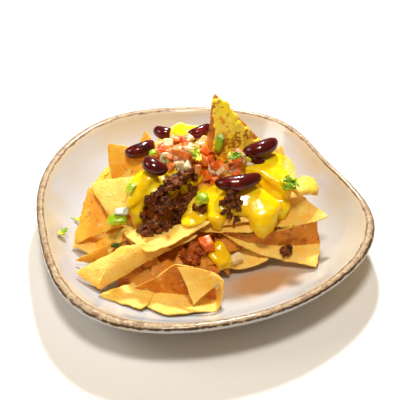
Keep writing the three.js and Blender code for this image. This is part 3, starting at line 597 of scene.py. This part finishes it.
def build_plate():
    coarse = np.arange(PLATE_SEGMENTS) * 2 * math.pi / PLATE_SEGMENTS
    radii = np.concatenate([plate_radius(share, coarse) for share, _ in PLATE_SECTION])
    spread = np.tile([np.cos(coarse), np.sin(coarse)], len(PLATE_SECTION)) * radii
    middle = np.append((spread.min(axis=1) + spread.max(axis=1)) / 2, 0)
    section = smooth_line(PLATE_SECTION[1:-1], 6)
    sides, rings = 256, len(section)
    angles = np.arange(sides) * 2 * math.pi / sides
    points = [np.zeros((1, 3))]
    for share, z in section:
        r = plate_radius(min(share, 1.0), angles)
        ring = [r * np.cos(angles), r * np.sin(angles), np.full(sides, max(z, 0.0))]
        points.append(np.stack(ring, axis=1))
    points = np.concatenate(points + [np.array([[0, 0, 6.0]])])
    above = points[:, 2] > 3
    wave = noise(points, 34, 3) * np.clip((points[:, 2] - 8) / 12, 0, 1)
    points[:, 2] += np.minimum(0.35 * wave, 0.2) * above
    points -= middle
    faces, top = ring_faces(rings, sides, 1), 1 + (rings - 1) * sides
    for a, b in zip(range(sides), [*range(1, sides), 0]):
        faces += [(0, b + 1, a + 1), (top + a, top + b, top + sides)]
    plate = Mesh(points, faces).build("stoneware_plate", [plate_material()])
    placed(plate, "plate_glaze", "plate")
    # How far each ring is from the top of the rim: negative outside, positive inside.
    along = distance_along(section * (PLATE_RADIUS, 1))
    along -= along[np.argmax(section[:, 1])]
    from_rim = np.concatenate([[along[0]], np.repeat(along, sides), [along[-1]]])
    # Painted warm shadow on the floor of the plate, in front of the heap.
    x, y = points[:, 0] - 40, points[:, 1] + 56
    painted_shadow = np.exp(-((x / 30) ** 2) - ((y - 0.25 * x) / 15) ** 2) * above
    for name, values in (("from_rim", from_rim), ("painted_shadow", painted_shadow)):
        plate.data.attributes.new(name, "FLOAT", "POINT").data.foreach_set("value", values)


# ---- Chips ----


def chip_points(share, chip):
    """Points of a chip at shares (a, b) of its first two corners."""
    corners = np.array(chip["corners"], float)
    normal = unit(np.cross(corners[1] - corners[0], corners[2] - corners[0]))
    if normal[2] < 0:
        normal = -normal
    share = np.stack([*share.T, 1 - share[:, 0] - share[:, 1]], axis=-1)
    bow = chip["arc"] * share[:, 1] * share[:, 2]
    pulled = share + np.stack([-4 * bow, 2 * bow, 2 * bow], axis=-1)
    for k in range(3):
        tip = chip["blunt"] * np.maximum(0, (share[:, k] - 0.8) / 0.2) ** 2
        pulled[:, k] -= tip
        pulled[:, (k + 1) % 3] += tip / 2
        pulled[:, (k + 2) % 3] += tip / 2
    along = share @ np.array(chip["bend"], float)
    lift = chip["depth"] * (1 - (2 * along - 1) ** 2)
    return pulled @ corners + lift[:, None] * normal


def triangle_grid(steps):
    index, triangles = {}, []
    for i in range(steps + 1):
        for j in range(steps - i + 1):
            index[i, j] = len(index)
    for i, j in index:
        if i + j < steps:
            triangles.append((index[i, j], index[i + 1, j], index[i, j + 1]))
        if i + j < steps - 1:
            triangles.append((index[i + 1, j], index[i + 1, j + 1], index[i, j + 1]))
    rim = [index[k, 0] for k in range(steps)]
    rim += [index[steps - k, k] for k in range(steps)]
    rim += [index[0, steps - k] for k in range(steps)]
    return np.array(list(index)) / steps, triangles, rim


def square_grid(along, across):
    at = lambda u, v: u * (across + 1) + v
    triangles = []
    for u, v in product(range(along), range(across)):
        triangles.append((at(u, v), at(u + 1, v), at(u, v + 1)))
        triangles.append((at(u, v + 1), at(u + 1, v), at(u + 1, v + 1)))
    rim = [at(u, 0) for u in range(along)] + [at(along, v) for v in range(across)]
    rim += [at(u, across) for u in range(along, 0, -1)] + [at(0, v) for v in range(across, 0, -1)]
    return triangles, rim


def shell(triangles, rim, count, edge=False):
    """Faces of a sheet: above, below, and round the rim, through points of its own for an edge."""
    faces = list(triangles) + [(c + count, b + count, a + count) for a, b, c in triangles]
    rows = [rim, [i + count for i in rim]]
    if edge:
        rows.insert(1, range(2 * count, 2 * count + len(rim)))
    for upper, lower in zip(rows, rows[1:]):
        for k in range(len(rim)):
            n = (k + 1) % len(rim)
            faces.append((upper[n], upper[k], lower[k], lower[n]))
    return faces


def fried(points, triangles, rim, seed, blisters):
    """A sheet of points as a fried chip: warped, blistered, thinner and ragged at its edge."""
    rng = np.random.default_rng(seed)
    rim = np.array(rim)
    warp = 0.7 * noise_vectors(points, 15, seed) + 0.22 * noise_vectors(points, 5, seed + 7)
    points = points + warp
    normals = vertex_normals(points, triangles)
    ahead, behind = points[np.roll(rim, -1)], points[np.roll(rim, 1)]
    outward = unit(np.cross(ahead - behind, normals[rim]))
    ragged = 0.55 * noise(points[rim], 4.5, seed + 11) + 0.35 * noise(points[rim], 1.6, seed + 12)
    points[rim] += outward * (ragged - 0.3)[:, None]
    inwards = np.min(np.linalg.norm(points[:, None] - points[rim][None, ::2], axis=2), axis=1)
    thinner = 0.4 + 0.6 * np.clip(inwards / 2.4, 0, 1) ** 0.7
    half = CHIP_THICK / 2 * (0.9 + 0.1 * noise(points, 9, seed + 3)) * thinner
    upper, lower = half.copy(), half.copy()
    for _ in range(blisters):
        middle = points[rng.integers(len(points))]
        reach = rng.uniform(1.6, 5.0)
        distance = np.linalg.norm(points - middle, axis=1) / reach
        dome = rng.uniform(0.15, 0.5) * np.maximum(0, 1 - distance**2) ** 1.5
        (upper, lower)[rng.integers(2)][:] += dome * np.clip(inwards / 2, 0, 1)
    edge = points[rim] + outward * 0.2
    skin = [points + normals * upper[:, None], points - normals * lower[:, None], edge]
    return np.concatenate(skin), shell(triangles, rim, len(points), edge=True)


def chip_mesh(chip, seed, steps=44, blisters=14):
    share, triangles, rim = triangle_grid(steps)
    return fried(chip_points(share, chip), triangles, rim, seed, blisters)


def folded_mesh(name, seed):
    columns = FOLDED[name]
    along, across, _ = FOLDED_GRID[name]
    spans = len(columns) - 1
    per_row, per_column = along // spans, across // 2
    crossing = np.array([smooth_line(column, per_column, CREASE_TENSION) for column in columns])
    rows = [smooth_line(crossing[:, v], per_row, ROW_TENSION) for v in range(crossing.shape[1])]
    points = np.stack(rows, axis=1).reshape(-1, 3)
    triangles, rim = square_grid(per_row * spans, per_column * 2)
    return fried(points, triangles, rim, seed, 22)


def inner_wall(name, faces):
    """1 for the faces of the wall behind the crease, which take the painted-shade tone, 0 for the
    rest.
    """
    along, across, wall = FOLDED_GRID[name]
    spans = len(FOLDED[name]) - 1
    length, rows = along // spans, across // 2 * 2 + 1
    count = (length * spans + 1) * rows

    def inside(i):
        u, v = divmod(i % count, rows)
        return i < 2 * count and u <= length * wall and v <= rows // 2

    return [int(all(inside(i) for i in face)) for face in faces]


SURFACES = {}  # the points and faces of what toppings lie on
CHIP_CRISP = 38  # degrees: edges of chips that are sharper stay sharp


def build_chip(name, points, faces, tones, numbers=0):
    SURFACES[name] = (points, faces)
    materials = [CHIP[tone] for tone in tones]
    placed(Mesh(points, faces, numbers).build("fried_" + name, materials, CHIP_CRISP), "chip", name)


def build_chips():
    for k, (name, chip) in enumerate(CHIPS.items()):
        build_chip(name, *chip_mesh(chip, 100 + k), [CHIP_TONES.get(name, "gold")])
    for k, name in enumerate(FOLDED):
        points, faces = folded_mesh(name, 200 + k)
        # The wall behind each crease takes the painted-shade tone.
        build_chip(name, points, faces, ["gold", "painted_shade"], inner_wall(name, faces))


# ---- The heap underneath ----


def heap_height(x, y):
    best = 0.0
    for mx, my, rx, ry, height in MOUNDS:
        rho = math.hypot((x - mx) / rx, (y - my) / ry)
        best = max(best, height * max(0.0, 1 - rho * rho) ** HEAP_STEEPNESS)
    return HEAP_BASE + best


def heap_place(angle, reach):
    return HEAP_CENTRE[0] + reach * math.cos(angle), HEAP_CENTRE[1] + reach * math.sin(angle)


def heap_reach(angle):
    reach = 20
    while heap_height(*heap_place(angle, reach)) > HEAP_BASE:
        reach += 1
    return reach - 1


def heap_normal(x, y):
    step = 3
    slope_x = heap_height(x + step, y) - heap_height(x - step, y)
    slope_y = heap_height(x, y + step) - heap_height(x, y - step)
    return unit(np.array([-slope_x, -slope_y, 2.0 * step]))


def lying_chip(draw, angle, share, lift, low, high, lean=0.25):
    """A chip that lies on the slope of the heap, with its middle `lift` above it."""
    x, y = heap_place(angle, share * heap_reach(angle))
    up = np.array([draw(-lean, lean), draw(-lean, lean), draw(0, lean)])
    up = unit(up + heap_normal(x, y))
    lie = Vector((0, 0, 1)).rotation_difference(Vector(up))
    size, spin = draw(low, high), draw(0, 2 * math.pi)
    middle = np.array([x, y, heap_height(x, y)]) + lift * up
    corners = []
    for n in range(3):
        turn = spin + n * 2 * math.pi / 3
        corner = Vector((size * math.cos(turn), size * math.sin(turn), 0))
        corner.rotate(lie)
        corners.append(tuple(np.array(corner) + middle))
    return bent(*corners, draw(1, 5))


def lying_chips():
    """The large chips on the heap, in the CAD model's own three rings."""
    draw = seeded(5)
    chips = []
    rings = ((0.8, 7, -8, 195, -3.5), (0.5, 4, 5, 185, -3), (0.72, 2, 200, 300, -5))
    for share, count, start, end, lift in rings:
        for k in range(count):
            angle = math.radians(start + (end - start) * (k + draw(0.2, 0.8)) / count)
            chips.append(lying_chip(draw, angle, share, lift, 29, 34))
    return chips


SHARD = dict(steps=14, blisters=4)
SHARDS_ON_TOP, SHARDS_AT_BASE = 54, 60


def build_heap():
    """The core of the heap, its large chips, and loose shards over its top and round its base."""
    core = linked("heap_core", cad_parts["chip_heap"].data.copy())
    relief = lambda points: 0.5 * noise(points, 5, 9) - 0.4
    mesh = Mesh(*remeshed(core, relief, voxel=1.6, smoothing=3, factor=0.5))
    bpy.data.objects.remove(core)
    for k, chip in enumerate(CARRYING_CHIPS + lying_chips()):
        mesh.add(*chip_mesh(chip, 300 + k, steps=26, blisters=9), 1 + k % 2)
    draw = seeded(77)
    for k in range(SHARDS_ON_TOP):
        angle = math.radians(draw(-15, 205) if k % 3 else draw(200, 345))
        chip = lying_chip(draw, angle, math.sqrt(draw(0.08, 0.86)), draw(-1.5, 0.5), 8, 19, 0.45)
        mesh.add(*chip_mesh(chip, 400 + k, **SHARD), k % 3)
    for k in range(SHARDS_AT_BASE):
        behind = k % 4 > 0
        angle = math.radians(draw(-30, 210) if behind else draw(210, 330))
        chip = lying_chip(draw, angle, draw(0.84, 0.97), draw(-0.8, 0.2), 9, 17, 0.3)
        mesh.add(*chip_mesh(chip, 500 + k, **SHARD), k % 3 if behind else 3)
    SURFACES["chip_heap"] = mesh.whole()
    # The core takes the deep tone as painted shade; the shards take deep, gold and orange in turn,
    # and those at the front of the base the painted-shade tone.
    tones = [CHIP[tone] for tone in ("deep", "gold", "orange", "painted_shade")]
    placed(mesh.build("heap_of_chips", tones, CHIP_CRISP), "chip", "chip_heap")


# ---- What toppings lie on ----


class Field:
    """Heights of the named surfaces over the plate, on a grid one millimetre apart."""

    SIZE, REACH, CEILING = 120, 100, 200

    def __init__(self, names):
        mesh = Mesh()
        for name in names:
            mesh.add(*SURFACES[name])
        points, faces = mesh.whole()
        self.tree = BVHTree.FromPolygons(points.tolist(), faces)
        side = range(-self.SIZE, self.SIZE + 1)
        self.z = np.array([[self.height(x, y) for y in side] for x in side])

    def height(self, x, y):
        if x * x + y * y >= self.REACH ** 2:
            return 0.0
        hit = self.tree.ray_cast(Vector((x, y, self.CEILING)), Vector((0, 0, -1)))[0]
        return float(HEAP_BASE) if hit is None else hit.z

    def window(self, x, y, reach):
        """The cells round a point, and how far each is from it."""
        across, deep = (np.arange(math.floor(c - reach), math.ceil(c + reach) + 1) for c in (x, y))
        cells = np.ix_(across + self.SIZE, deep + self.SIZE)
        return cells, np.hypot(across[:, None] - x, deep[None, :] - y)

    def rest(self, x, y, reach, share=0.6):
        """The height on which a piece of that reach comes to rest."""
        cells, distance = self.window(x, y, reach)
        return float(np.quantile(self.z[cells][distance <= reach], share))

    def pile(self, x, y, reach, middle, half):
        """Raises the grid to the dome of a piece that lies there."""
        cells, distance = self.window(x, y, reach)
        dome = middle + half * np.sqrt(np.maximum(0, 1 - (distance / reach) ** 2))
        self.z[cells] = np.where(distance < reach, np.maximum(self.z[cells], dome), self.z[cells])


def band_samples(path, spacing):
    """Points over a band: x, y, and how close to its edge, 0 in the middle and 1 at the edge."""
    line = smooth_line(path, 12)
    along = distance_along(line[:, :2])
    at = lambda t: np.array([np.interp(t * along[-1], along, line[:, k]) for k in range(3)])
    count = max(3, int(along[-1] / spacing))
    out = []
    for t in np.arange(count + 1) / count:
        x, y, width = at(t)
        heading = unit((at(min(1, t + 0.02)) - at(max(0, t - 0.02)))[:2])
        width = max(1.5, width) * math.sqrt(max(0.2, 1 - (2 * t - 1) ** 6))
        sides = max(2, int(2 * width / spacing))
        for side in 2 * np.arange(sides + 1) / sides - 1:
            edge = max(abs(side), abs(2 * t - 1) ** 3)
            out.append((x - heading[1] * side * width, y + heading[0] * side * width, edge))
    return out


# ---- Melted cheese ----


def ball(level):
    """A unit ball of triangles: twenty, each split in four `level` times."""
    t = (1 + math.sqrt(5)) / 2
    points = [np.roll((a, b * t, 0.0), k) for k in range(3) for a, b in product((-1, 1), repeat=2)]
    faces = []
    for corners in combinations(range(12), 3):
        a, b, c = (points[i] for i in corners)
        if max(np.linalg.norm(side) for side in (a - b, b - c, c - a)) < 2.1:
            faces.append(corners if np.cross(b - a, c - a) @ a > 0 else corners[::-1])
    for _ in range(level):
        middles, split = {}, []
        for a, b, c in faces:
            for p, q in ((a, b), (b, c), (c, a)):
                if (q, p) in middles:
                    middles[p, q] = middles[q, p]
                else:
                    middles[p, q] = len(points)
                    points.append((points[p] + points[q]) / 2)
            ab, bc, ca = middles[a, b], middles[b, c], middles[c, a]
            split += [(a, ab, ca), (b, bc, ab), (c, ca, bc), (ab, bc, ca)]
        faces = split
    return unit(np.array(points)), faces


BALL_1, BALL_2 = ball(1), ball(2)


def melted(name, blobs, material, voxel=0.8, smoothing=20):
    """Overlapping blobs, each (x, y, z, reach, half height), run together into one skin."""
    mesh = Mesh()
    points, faces = BALL_1
    for x, y, z, reach, half in blobs:
        mesh.add(points * (reach, reach, half) + (x, y, z), faces)
    obj = mesh.build("melted_" + name, [material])
    skin = remeshed(obj, lambda p: 0.25 * noise(p, 8, 5) + 0.1 * noise(p, 3.5, 6), voxel, smoothing)
    placed(obj, "cheese", name)
    return skin


BLOB_SPACING = 1.7
BRIDGE = 11  # how far cheese spans the dips under it


def draped_blobs(bands, field, seed):
    """Blobs that follow the ground, bridge its dips and run down where it falls."""
    rng = np.random.default_rng(seed)
    blobs = []
    for path, thick in bands:
        samples = np.array(band_samples(path, BLOB_SPACING))
        samples[:, :2] += rng.uniform(-0.5, 0.5, (len(samples), 2))
        bases = np.array([field.rest(x, y, 3.2, 0.9) for x, y, _ in samples])
        apart = np.linalg.norm(samples[:, None, :2] - samples[None, :, :2], axis=2)
        weights = np.maximum(0, 1 - (apart / BRIDGE) ** 2)
        bases = np.maximum(bases, weights @ bases / weights.sum(axis=1))
        last = None
        for (x, y, edge), base in zip(samples, bases):
            here = np.array([x, y, base])
            crown = math.sqrt(max(0.0, 1 - edge**2))
            top = 0.8 + (thick - 0.8) * crown
            blobs.append((x, y, base + top / 2, 2.2 + 1.3 * crown, top / 2 + 0.4))
            drop = base - field.rest(x, y, 1.8, 0.3)
            blobs += [(x, y, base - s, 2.0, 1.4) for s in np.arange(1.0, min(drop, 7), 1.2)]
            if last is not None and math.hypot(*(here - last)[:2]) < 3.5:
                fall = abs(base - last[2])
                for s in np.arange(1.5, fall, 1.5) / max(fall, 1e-6):
                    blobs.append((*(last + (here - last) * s + (0, 0, 0.8)), 1.7, 1.5))
            last = here
    return blobs


# Cheese on steep chips: from which shares of the chip to which, and how thick.
COATS = {
    "cheese_peak": ("chip_peak", (0.04, 0.05), (0.88, 0.8), 2.5, CHEESE_TOASTED),
    "cheese_round": ("chip_right_round", (0.1, 0.15), (0.7, 0.8), 2, CHEESE_THIN),
    "cheese_shelf": ("chip_right_shelf", (0.05, 0.3), (0.6, 0.75), 2, CHEESE_PLAIN),
}


def coat_blobs(chip, start, end, thick, seed):
    rng = np.random.default_rng(seed)
    share, triangles, _ = triangle_grid(30)
    points = chip_points(share, CHIPS[chip])
    normals = vertex_normals(points, triangles)
    facing = -1 if normals[0][1] > 0 else 1
    start, end = np.array(start), np.array(end)
    blobs = []
    for (a, b), point, normal in zip(share, points, normals):
        inside = (np.array([a, b / max(1 - a, 1e-6)]) - start) / (end - start)
        wobble = 0.1 * float(noise(point[None], 7, seed)[0])
        if inside.min() > wobble and inside.max() < 1 - wobble:
            rise = thick * rng.uniform(0.5, 0.9)
            x, y, z = point + facing * normal * (CHIP_THICK / 2 + rise * 0.35)
            reach = rng.uniform(1.5, 2.2)
            blobs.append((x, y, z, reach, reach))
    return blobs


def build_cheese(field, low_field):
    for k, (name, bands) in enumerate(CHEESE.items()):
        blobs = draped_blobs(bands, low_field if name in LOW else field, 500 + k)
        SURFACES[name] = melted(name, blobs, CHEESE_PLAIN)
    for k, (name, (*coat, material)) in enumerate(COATS.items()):
        melted(name, coat_blobs(*coat, 520 + k), material, voxel=0.6, smoothing=3)


# ---- Minced beef and pico ----


def crumb(rng, size):
    """A ragged crumb of fried mince."""
    points, faces = BALL_2
    seed = int(rng.integers(10000))
    rough = 1 + 0.4 * noise(points, 0.9, seed) + 0.28 * noise(points, 0.4, seed + 1)
    shape = np.array([1, rng.uniform(0.6, 0.95), rng.uniform(0.55, 0.9)])
    return (points * rough[:, None] * shape * size) @ rotation(rng).T, faces


def dice(rng, size, round_share, cells):
    """A knife-cut dice with soft edges."""
    index, faces = {}, []
    for axis, side in product(range(3), (0, cells)):
        u, v = (axis + 1) % 3, (axis + 2) % 3
        for i, j in product(range(cells), repeat=2):
            quad = []
            for a, b in ((i, j), (i + 1, j), (i + 1, j + 1), (i, j + 1)):
                p = [side] * 3
                p[u], p[v] = a, b
                quad.append(index.setdefault(tuple(p), len(index)))
            faces.append(tuple(quad if side else quad[::-1]))
    cube = np.array(list(index)) * 2 / cells - 1
    core = np.clip(cube, round_share - 1, 1 - round_share)
    shape = (core + round_share * unit(cube - core + 1e-9)) * np.asarray(size) / 2
    seed = int(rng.integers(10000))
    scale = float(np.mean(size))
    shape = shape + 0.09 * scale * noise_vectors(shape, scale * 0.6, seed)
    shape[:, :2] += rng.uniform(-0.25, 0.25, 2) * shape[:, 2:]
    return shape, faces


def scatter(path, spacing, rng, tightness=0.9):
    """Places for a pile of pieces over a band, in three layers that grow smaller."""
    out = []
    for layer in range(3):
        share = 1 - 0.22 * layer
        places = [p for p in band_samples(path, spacing) if p[2] <= share * tightness + 0.1]
        rng.shuffle(places)
        out += [(x + rng.uniform(-0.4, 0.4) * spacing, y + rng.uniform(-0.4, 0.4) * spacing, layer)
                for x, y, _ in places]
    return out


def beef_relief(points):
    bumps = 0.5 * noise(points, 2.2, 5) + 0.45 * noise(points, 1.1, 6)
    return bumps - 0.5 * np.abs(noise(points, 1.6, 7))


CRUMB_SPACING, DICE_SPACING = 2.6, 5.6


def build_beef(field, low_field):
    """Crumbs, piled one by one and run together where they touch."""
    for k, (name, path) in enumerate(BEEF.items()):
        rng = np.random.default_rng(600 + k)
        under = low_field if name in LOW else field
        mesh = Mesh()
        wide = max(point[2] for point in path) > 6
        for x, y, layer in scatter(path, CRUMB_SPACING, rng, 0.84 if wide else 1.0):
            size = rng.uniform(1.3, 3.0) * (1 - 0.1 * layer)
            z = under.rest(x, y, size * 0.9) + size * 0.25
            points, faces = crumb(rng, size)
            mesh.add(points + (x, y, z), faces)
            under.pile(x, y, size, z, size * 0.45)
        obj = mesh.build("fried_" + name, [BEEF_SAUCY if name == "beef_front" else BEEF_FRIED])
        remeshed(obj, beef_relief, voxel=0.5)
        placed(obj, "beef", name)


# What the pico is made of: share, and the ranges of length, width and height.
PICO_KINDS = [
    (TOMATO, 0.3, (5.5, 8.5), (4, 7), (3, 5.5)),
    (TOMATO_PALE, 0.1, (5.5, 8.5), (4, 7), (3, 5.5)),
    (ONION, 0.32, (5.5, 10), (3.5, 6.5), (2, 3.4)),
    (ONION_PINK, 0.12, (5.5, 10), (3.5, 6.5), (2, 3.4)),
    (GREEN, 0.1, (3, 5.5), (2, 4), (1.2, 2)),
    (HERB, 0.06, (3, 5.5), (2, 4), (1.2, 2)),
]


def build_pico(field):
    """Diced tomato and onion, with a few bits of pepper and herb, piled piece by piece."""
    materials, shares, *_ = zip(*PICO_KINDS)
    for k, (name, path) in enumerate(PICO.items()):
        rng = np.random.default_rng(640 + k)
        mesh = Mesh()
        for x, y, _ in scatter(path, DICE_SPACING, rng):
            kind = int(rng.choice(len(shares), p=shares))
            size = np.array([rng.uniform(*span) for span in PICO_KINDS[kind][2:]])
            reach = float(np.mean(size)) / 2
            z = field.rest(x, y, reach * 0.9) + reach * 0.5
            points, faces = dice(rng, size, 0.3, 6)
            mesh.add(points @ rotation(rng).T + (x, y, z), faces, kind)
            field.pile(x, y, reach, z, reach * 0.8)
        placed(mesh.build("chopped_" + name, materials), "pico", name)


# ---- Beans and chopped greens ----

# Beans: length, share of it in girth, heading and tip.
BEANS = {
    "bean_front": (31, 0.2, 12, 2),
    "bean_right_low": (17, 0.25, -35, -12),
    "bean_right": (25, 0.25, 22, 8),
    "bean_left": (22, 0.26, 30, 4),
    "bean_left_end": (18, 0.33, -25, -12),
    "bean_back_left": (17, 0.3, -20, 0),
    "bean_back": (18, 0.25, 30, 5),
}
# Cuts: size, heading and tip.
GREENS = {
    "green_peak": ((14, 6, 5), 60, 60),
    "green_top": ((14, 9, 6), 80, 0),
    "green_middle": ((9, 8, 6), 20, 0),
    "green_left": ((9, 6, 4), 60, 0),
    "green_low_left": ((13, 8, 4), 5, 0),
    "green_right": ((15, 11, 8), -60, 0),
    "green_centre": ((10, 8, 5), 15, 0),
    "herb_left": ((11, 6, 4), 35, 0),
    "green_plate": ((9, 6, 3), 40, 0),
    "green_plate_long": ((12, 3.5, 2.5), -15, 0),
    "green_back": ((6, 5, 4), 0, 0),
}
# Greens that are leaves: how many leaflets, and how ruffled.
LEAVES = {
    "green_right": (5, 0.6), "herb_left": (4, 0.2), "green_plate": (2, 0.4),
    "green_top": (3, 0.3), "green_centre": (3, 0.4),
}
# Dice: seed, size, heading, roundness, cells, finish and slot.
DICED = {
    "onion_left": (740, (9.6, 5.76, 3.36), 5, 0.5, 8, ONION_PALE, "onion"),
    "onion_low": (741, (8.64, 6.72, 4.8), 30, 0.5, 8, ONION, "onion"),
    "tomato_front": (750, (8.28, 8.28, 8.28), 25, 0.3, 9, TOMATO, "tomato"),
}


def put(prefix, node, points, faces, materials, slot, numbers=0):
    """Builds a piece with its middle where the node's is."""
    low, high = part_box(node)
    middle = (points.min(axis=0) + points.max(axis=0)) / 2
    mesh = Mesh(points - middle + np.array((low + high) / 2) / MM, faces, numbers)
    placed(mesh.build(prefix + node, materials), slot, node)


def round_bean(length, girth_share, seed):
    """A kidney bean that lies along x, hollowed on the side its ends bend to."""
    sides, rings = 40, 49
    girth = length * girth_share
    a, b = flat_grid(np.pi * np.arange(rings) / (rings - 1), 2 * np.pi * np.arange(sides) / sides)
    x = -np.cos(a)
    r = np.sin(a) ** 0.82 * (1 - 0.06 * x)
    y, z = r * np.cos(b), r * np.sin(b)
    notch = 0.2 * np.maximum(0, np.cos(b)) ** 2 * np.exp(-((x / 0.4) ** 2))
    bow = length * 0.1 * x * x
    points = np.stack([x * length / 2, (y - notch) * girth + bow, z * girth * 0.88], axis=1)
    draw = np.random.default_rng(seed)
    points *= 1 + 0.025 * noise(points, 7, int(draw.integers(1000)))[:, None]
    return points, [face[::-1] for face in ring_faces(rings, sides)]


def pepper_piece(size, rng):
    """A curved cut of green pepper: skin outside, paler flesh inside."""
    points, faces = dice(rng, np.array(size) * 0.94, 0.6, 9)
    half = np.array(size) / 2
    bend = 0.5 * half[2]
    seed = int(rng.integers(1000))
    points += 0.4 * noise_vectors(points, 4, seed) + 0.2 * noise_vectors(points, 1.8, seed + 5)
    points[:, 2] -= bend * (points[:, 0] / half[0]) ** 2 - bend / 2
    flat = points[:, 2] + bend * (points[:, 0] / half[0]) ** 2
    lift = [np.mean(flat[list(face)]) for face in faces]
    numbers = [int(z > bend / 2 + 0.45 * half[2]) for z in lift]
    return points, faces, numbers


LEAF_THICK = 0.56


def leaflet(length, width, rng, ruffle, lobes=5, stalk=0.0):
    """A thin crinkled leaf along x, with a lobed edge, from its stalk at -length / 2."""
    along, across = 26, 14
    phase = rng.uniform(0, 6)
    u, v = flat_grid(np.arange(along + 1) / along, 2 * np.arange(across + 1) / across - 1)
    reach = np.sin(np.pi * np.clip((u - stalk) / (1 - stalk), 0, 1)) ** 0.7
    reach = reach * (0.82 + 0.18 * np.cos(2 * np.pi * lobes * u + phase))
    reach = np.maximum(0.06, reach) * width / 2
    z = ruffle * v * v * reach * np.sin(2 * np.pi * (lobes * 0.7 * u + 0.15 * v) + phase)
    points = np.stack([(u - 0.5) * length, v * reach, z + 0.35 * np.abs(v) * reach], axis=1)
    points += 0.25 * noise_vectors(points, 3, int(rng.integers(1000)))
    triangles, rim = square_grid(along, across)
    half = LEAF_THICK / 2 * vertex_normals(points, triangles)
    return np.concatenate([points + half, points - half]), shell(triangles, rim, len(points))


def sprig(size, rng, count, ruffle):
    """Crinkled leaflets that fill a box of the given size."""
    mesh = Mesh()
    for k in range(count):
        turn = 360 * k / count + rng.uniform(-20, 20)
        points, faces = leaflet(size[0] * 0.66, size[1] * 0.8, rng, ruffle)
        points += (size[0] * 0.2, 0, 0)
        points = turned(points, turn, rng.uniform(5, 60), rng.uniform(-40, 40))
        mesh.add(points, faces, k % 2)
    points, faces = mesh.whole()
    low, high = points.min(axis=0), points.max(axis=0)
    return (points - (low + high) / 2) * (np.array(size) / (high - low)), faces, mesh.numbers


def green_piece(node, size, rng):
    if node in LEAVES:
        return sprig(size, rng, *LEAVES[node])
    if node == "green_plate_long":
        return *leaflet(size[0], size[1] * 1.3, rng, 0.6, 4, 0.2), 0
    return pepper_piece(size, rng)


def build_single_pieces():
    for k, (node, (length, girth, heading, tip)) in enumerate(BEANS.items()):
        points, faces = round_bean(length, girth, 700 + k)
        put("kidney_", node, turned(points, heading, tip), faces, [BEAN_FINISH], "bean")
    for k, (node, (size, heading, tip)) in enumerate(GREENS.items()):
        points, faces, numbers = green_piece(node, size, np.random.default_rng(720 + k))
        leafy = node in LEAVES and node != "green_top"
        materials, slot = [LEAF, GREEN] if leafy else [GREEN, GREEN_SKIN], "green"
        if node == "herb_left":
            materials, slot = [HERB, HERB], "herb"
        put("cut_", node, turned(points, heading, tip, 8), faces, materials, slot, numbers)
    for node, (seed, size, heading, roundness, cells, finish, slot) in DICED.items():
        points, faces = dice(np.random.default_rng(seed), size, roundness, cells)
        put("cut_", node, turned(points, heading, 0, 8), faces, [finish], slot)


# ---- Stage, light and camera ----


def aimed(name, data, place, target):
    """A lamp or camera that looks at the target."""
    obj = linked(name, data)
    obj.location = place
    obj.rotation_euler = (Vector(target) - obj.location).to_track_quat("-Z", "Y").to_euler()
    return obj


def build_stage():
    f = Finish("floor_pale", (246, 246, 246), roughness=0.8)
    f.spots((242, 242, 242), 0.4, 0.6, 900)
    corners = [(-3000, -3000, 0), (3000, -3000, 0), (3000, 3000, 0), (-3000, 3000, 0)]
    Mesh(corners, [(0, 1, 2, 3)]).build("floor", [f.done()])
    scene = bpy.context.scene
    scene.world = bpy.data.worlds.new("studio")
    scene.world.use_nodes = True
    background = scene.world.node_tree.nodes["Background"]
    background.inputs["Color"].default_value = (1.0, 0.66, 0.32, 1)
    background.inputs["Strength"].default_value = 0.24
    for name, place, size, power, colour in (
        ("key", (0.04, 0.62, 0.76), 0.1, 11.5, (0.95, 0.98, 1.0)),
        ("top", (-0.02, -0.2, 0.99), 0.2, 5.6, (1.0, 0.95, 0.86)),
        ("side", (-0.7, -0.05, 0.66), 0.4, 2.0, (1.0, 0.97, 0.92)),
    ):
        light = bpy.data.lights.new(name, "AREA")
        light.shape = "DISK"
        light.size, light.energy, light.color = size, power, colour
        aimed(name, light, place, (0, 0, 0.03))
    camera = bpy.data.cameras.new("camera")
    camera.lens, camera.sensor_width = 67.0, 36
    scene.camera = aimed("camera", camera, (-0.00135, -0.3923, 0.3592), (-0.00135, 0.00604, 0.025))
    scene.view_settings.view_transform = "Standard"


def main():
    build_plate()
    build_chips()
    build_heap()
    lying = [name for name in SURFACES if name not in STEEP]
    low = [name for name in lying if name not in OVERHANGING]
    build_cheese(Field(lying), Field(low))
    field = Field(lying + list(CHEESE))
    build_beef(field, Field(low + ["cheese_drip"]))
    build_pico(field)
    build_single_pieces()
    build_stage()


main()
